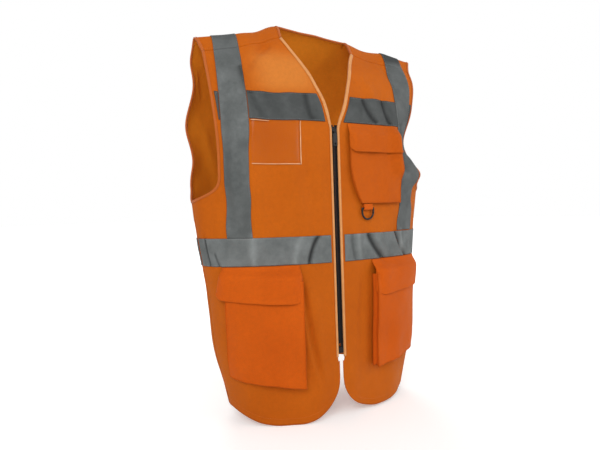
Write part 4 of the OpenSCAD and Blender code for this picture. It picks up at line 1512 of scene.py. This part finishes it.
# ---------------------------------------------------------------- zip ribbon and ring tab
LEAN_ANGLE = math.atan(LEAN)
ZIP_LEN = (ZIP_TOP - ZIP_LOW) / math.cos(LEAN_ANGLE)
ZIP_Y = Y_MID - (FRONT_D - LEAN * (ZIP_TOP - LEAN_Z))
ZIP_MATRIX = Matrix.Translation(Vector((0, ZIP_Y, ZIP_TOP))) @ Matrix.Rotation(-LEAN_ANGLE, 4, "X")
RIBBON_Y = 1.95
RIBBON_T = 0.55
RIBBON_W = 20.0
RIBBON_END = 8.0
CHAIN_X = 1.25
BOX_X = 3.7
BOX_H = 18.0
RIB_H = 0.048
RIBS = 40.0


def zip_ribbon(side, label):
    """Ribbed ribbon that carries one row of teeth, cut back beside the retainer box."""
    z = np.linspace(-ZIP_LEN + 2.0, RIBBON_END, 150)
    edge = np.where(z < -ZIP_LEN + BOX_H, -BOX_X, -CHAIN_X)
    u = np.linspace(0, 1, 12)
    x = mix(-RIBBON_W, edge[:, None], u[None, :])
    y = RIBBON_Y - RIB_H * np.sin(u * RIBS)[None, :]
    grid = np.stack(np.broadcast_arrays(x, y, z[:, None]), axis=-1)
    if side > 0:
        grid[..., 0] *= -1.0
        grid = grid[:, ::-1]
    moved = grid @ np.array(ZIP_MATRIX.to_3x3()).T + np.array(ZIP_MATRIX.translation)
    obj = sheet("zip_ribbon_" + label, moved, RIBBON_T, M_ZIP_TAPE)
    settle(obj, "front_" + label, "zip_tape_" + label)


for side, label in SIDES:
    zip_ribbon(side, label)

RING_T, RING_Z = 16.2, 386.0
RING_OUT = 5.6
TAB_HALF_W = 10.4
TAB_T = 0.8
# half of the webbing's outline round the bar, from its sewn end to the middle: y and z in mm
TAB_PATH = [(-2.35, 8.5), (-2.5, 5.0), (-2.9, 2.0), (-3.1, 0.0), (-2.7, -1.6), (-1.6, -2.7), (0.0, -3.1)]


def ring_tab():
    """Webbing loop folded round the straight bar of the ring and sewn to the front."""
    q_ring = float(q_front(RING_T, RING_Z))
    n = normal(RING_T, q_ring)
    centre = surf(RING_T, q_ring) + RING_OUT * n
    path = np.array(TAB_PATH + [(-y, z) for y, z in TAB_PATH[-2::-1]])
    fine = np.linspace(0, len(path) - 1, 60)
    y, z = (np.interp(fine, np.arange(len(path)), path[:, k])[:, None] for k in (0, 1))
    x = np.linspace(-TAB_HALF_W, TAB_HALF_W, 26)[None, :]
    grid = np.stack(np.broadcast_arrays(x, y, z), axis=-1)
    turn = np.array(Matrix.Rotation(math.atan2(n[0], -n[1]), 3, "Z"))
    obj = sheet("ring_webbing", (grid @ turn.T + centre)[::-1], TAB_T, M_POCKET)
    settle(obj, "front_left", "dring_tab")


ring_tab()


# ---------------------------------------------------------------- hard parts kept from the frame
def finish_hard(node, material, bevel=0.0):
    """Gives a node of the frame its material and slightly rounded edges; bevel in mm."""
    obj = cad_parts[node]
    obj.data.materials.clear()
    obj.data.materials.append(material)
    if bevel > 0.0:
        edge = obj.modifiers.new("moulded_edges", "BEVEL")
        edge.width = bevel * MM
        edge.segments = 2
        edge.limit_method = "ANGLE"
        edge.angle_limit = math.radians(35.0)


TOOTH_BEVEL = 0.12
PART_BEVEL = 0.2
for node in ("zip_teeth_right", "zip_teeth_left"):
    finish_hard(node, M_TEETH, TOOTH_BEVEL)
for node in ("top_stop_right", "top_stop_left", "zip_box", "zip_pin", "slider"):
    finish_hard(node, M_PLASTIC, PART_BEVEL)
finish_hard("pull_tab", M_METAL, PART_BEVEL)
finish_hard("dring", M_METAL)


# ---------------------------------------------------------------- floor, light and camera
FLOOR_SIDES = 64
FLOOR_R = 9000.0
FLOOR_Z = -0.5


def studio():
    """A wide floor disc, and white surroundings that light less than they show."""
    angles = [2.0 * math.pi * i / FLOOR_SIDES for i in range(FLOOR_SIDES)]
    points = [(0.0, 0.0, FLOOR_Z)]
    points += [(FLOOR_R * math.cos(a), FLOOR_R * math.sin(a), FLOOR_Z) for a in angles]
    faces = [(0, i + 1, (i + 1) % FLOOR_SIDES + 1) for i in range(FLOOR_SIDES)]
    mesh_object("studio_floor", points, faces, None, floor_material())
    world = bpy.data.worlds.new("studio_light")
    bpy.context.scene.world = world
    world.use_nodes = True
    n = Nodes(world.node_tree)
    seen = n.add("ShaderNodeLightPath").outputs["Is Camera Ray"]
    back = world.node_tree.nodes["Background"].inputs
    n.put(n.ramp(seen, 0.0, 1.0, 0.55, 1.0), back["Strength"])
    set_inputs(back, Color=rgb(1.0, 1.0, 1.0))


def area_light(name, position, target, size, power):
    """Round soft light; size in metres, power in watts."""
    data = bpy.data.lights.new(name, "AREA")
    data.shape = "DISK"
    data.size = size
    data.energy = power
    obj = bpy.data.objects.new(name, data)
    obj.location = position
    way = Vector(target) - Vector(position)
    obj.rotation_euler = way.to_track_quat("-Z", "Y").to_euler()
    bpy.context.scene.collection.objects.link(obj)


CAMERA_AT = (-0.4923, -0.92235, 0.4083)
CAMERA_HEADING = math.radians(26.43)
CAMERA_DOWN = math.radians(2.96)
CAMERA_ROLL = math.radians(-0.98)
CAMERA_LENS = 31.57
SENSOR_W = 36.0


def camera():
    """Camera at the vest's mid height, in front of its right side, and rolled a little."""
    heading_sin, heading_cos = math.sin(CAMERA_HEADING), math.cos(CAMERA_HEADING)
    flat = math.cos(CAMERA_DOWN)
    forward = Vector((heading_sin * flat, heading_cos * flat, -math.sin(CAMERA_DOWN)))
    level = Vector((heading_cos, -heading_sin, 0.0))
    upright = level.cross(forward)
    right = level * math.cos(CAMERA_ROLL) + upright * math.sin(CAMERA_ROLL)
    up = upright * math.cos(CAMERA_ROLL) - level * math.sin(CAMERA_ROLL)
    data = bpy.data.cameras.new("view")
    data.lens = CAMERA_LENS
    data.sensor_width = SENSOR_W
    data.clip_start = 0.01
    obj = bpy.data.objects.new("view", data)
    turn = Matrix((right, up, -forward)).transposed().to_4x4()
    obj.matrix_world = Matrix.Translation(Vector(CAMERA_AT)) @ turn
    bpy.context.scene.collection.objects.link(obj)
    bpy.context.scene.camera = obj


studio()
area_light("key", (-1.6, -2.2, 1.9), (0.0, 0.0, 0.42), size=1.8, power=42.0)
area_light("fill", (1.9, -1.8, 1.2), (0.0, 0.0, 0.40), size=2.0, power=18.0)
area_light("back", (0.6, 2.4, 2.0), (0.0, 0.0, 0.45), size=1.8, power=26.0)
camera()
bpy.context.scene.view_settings.view_transform = "Standard"
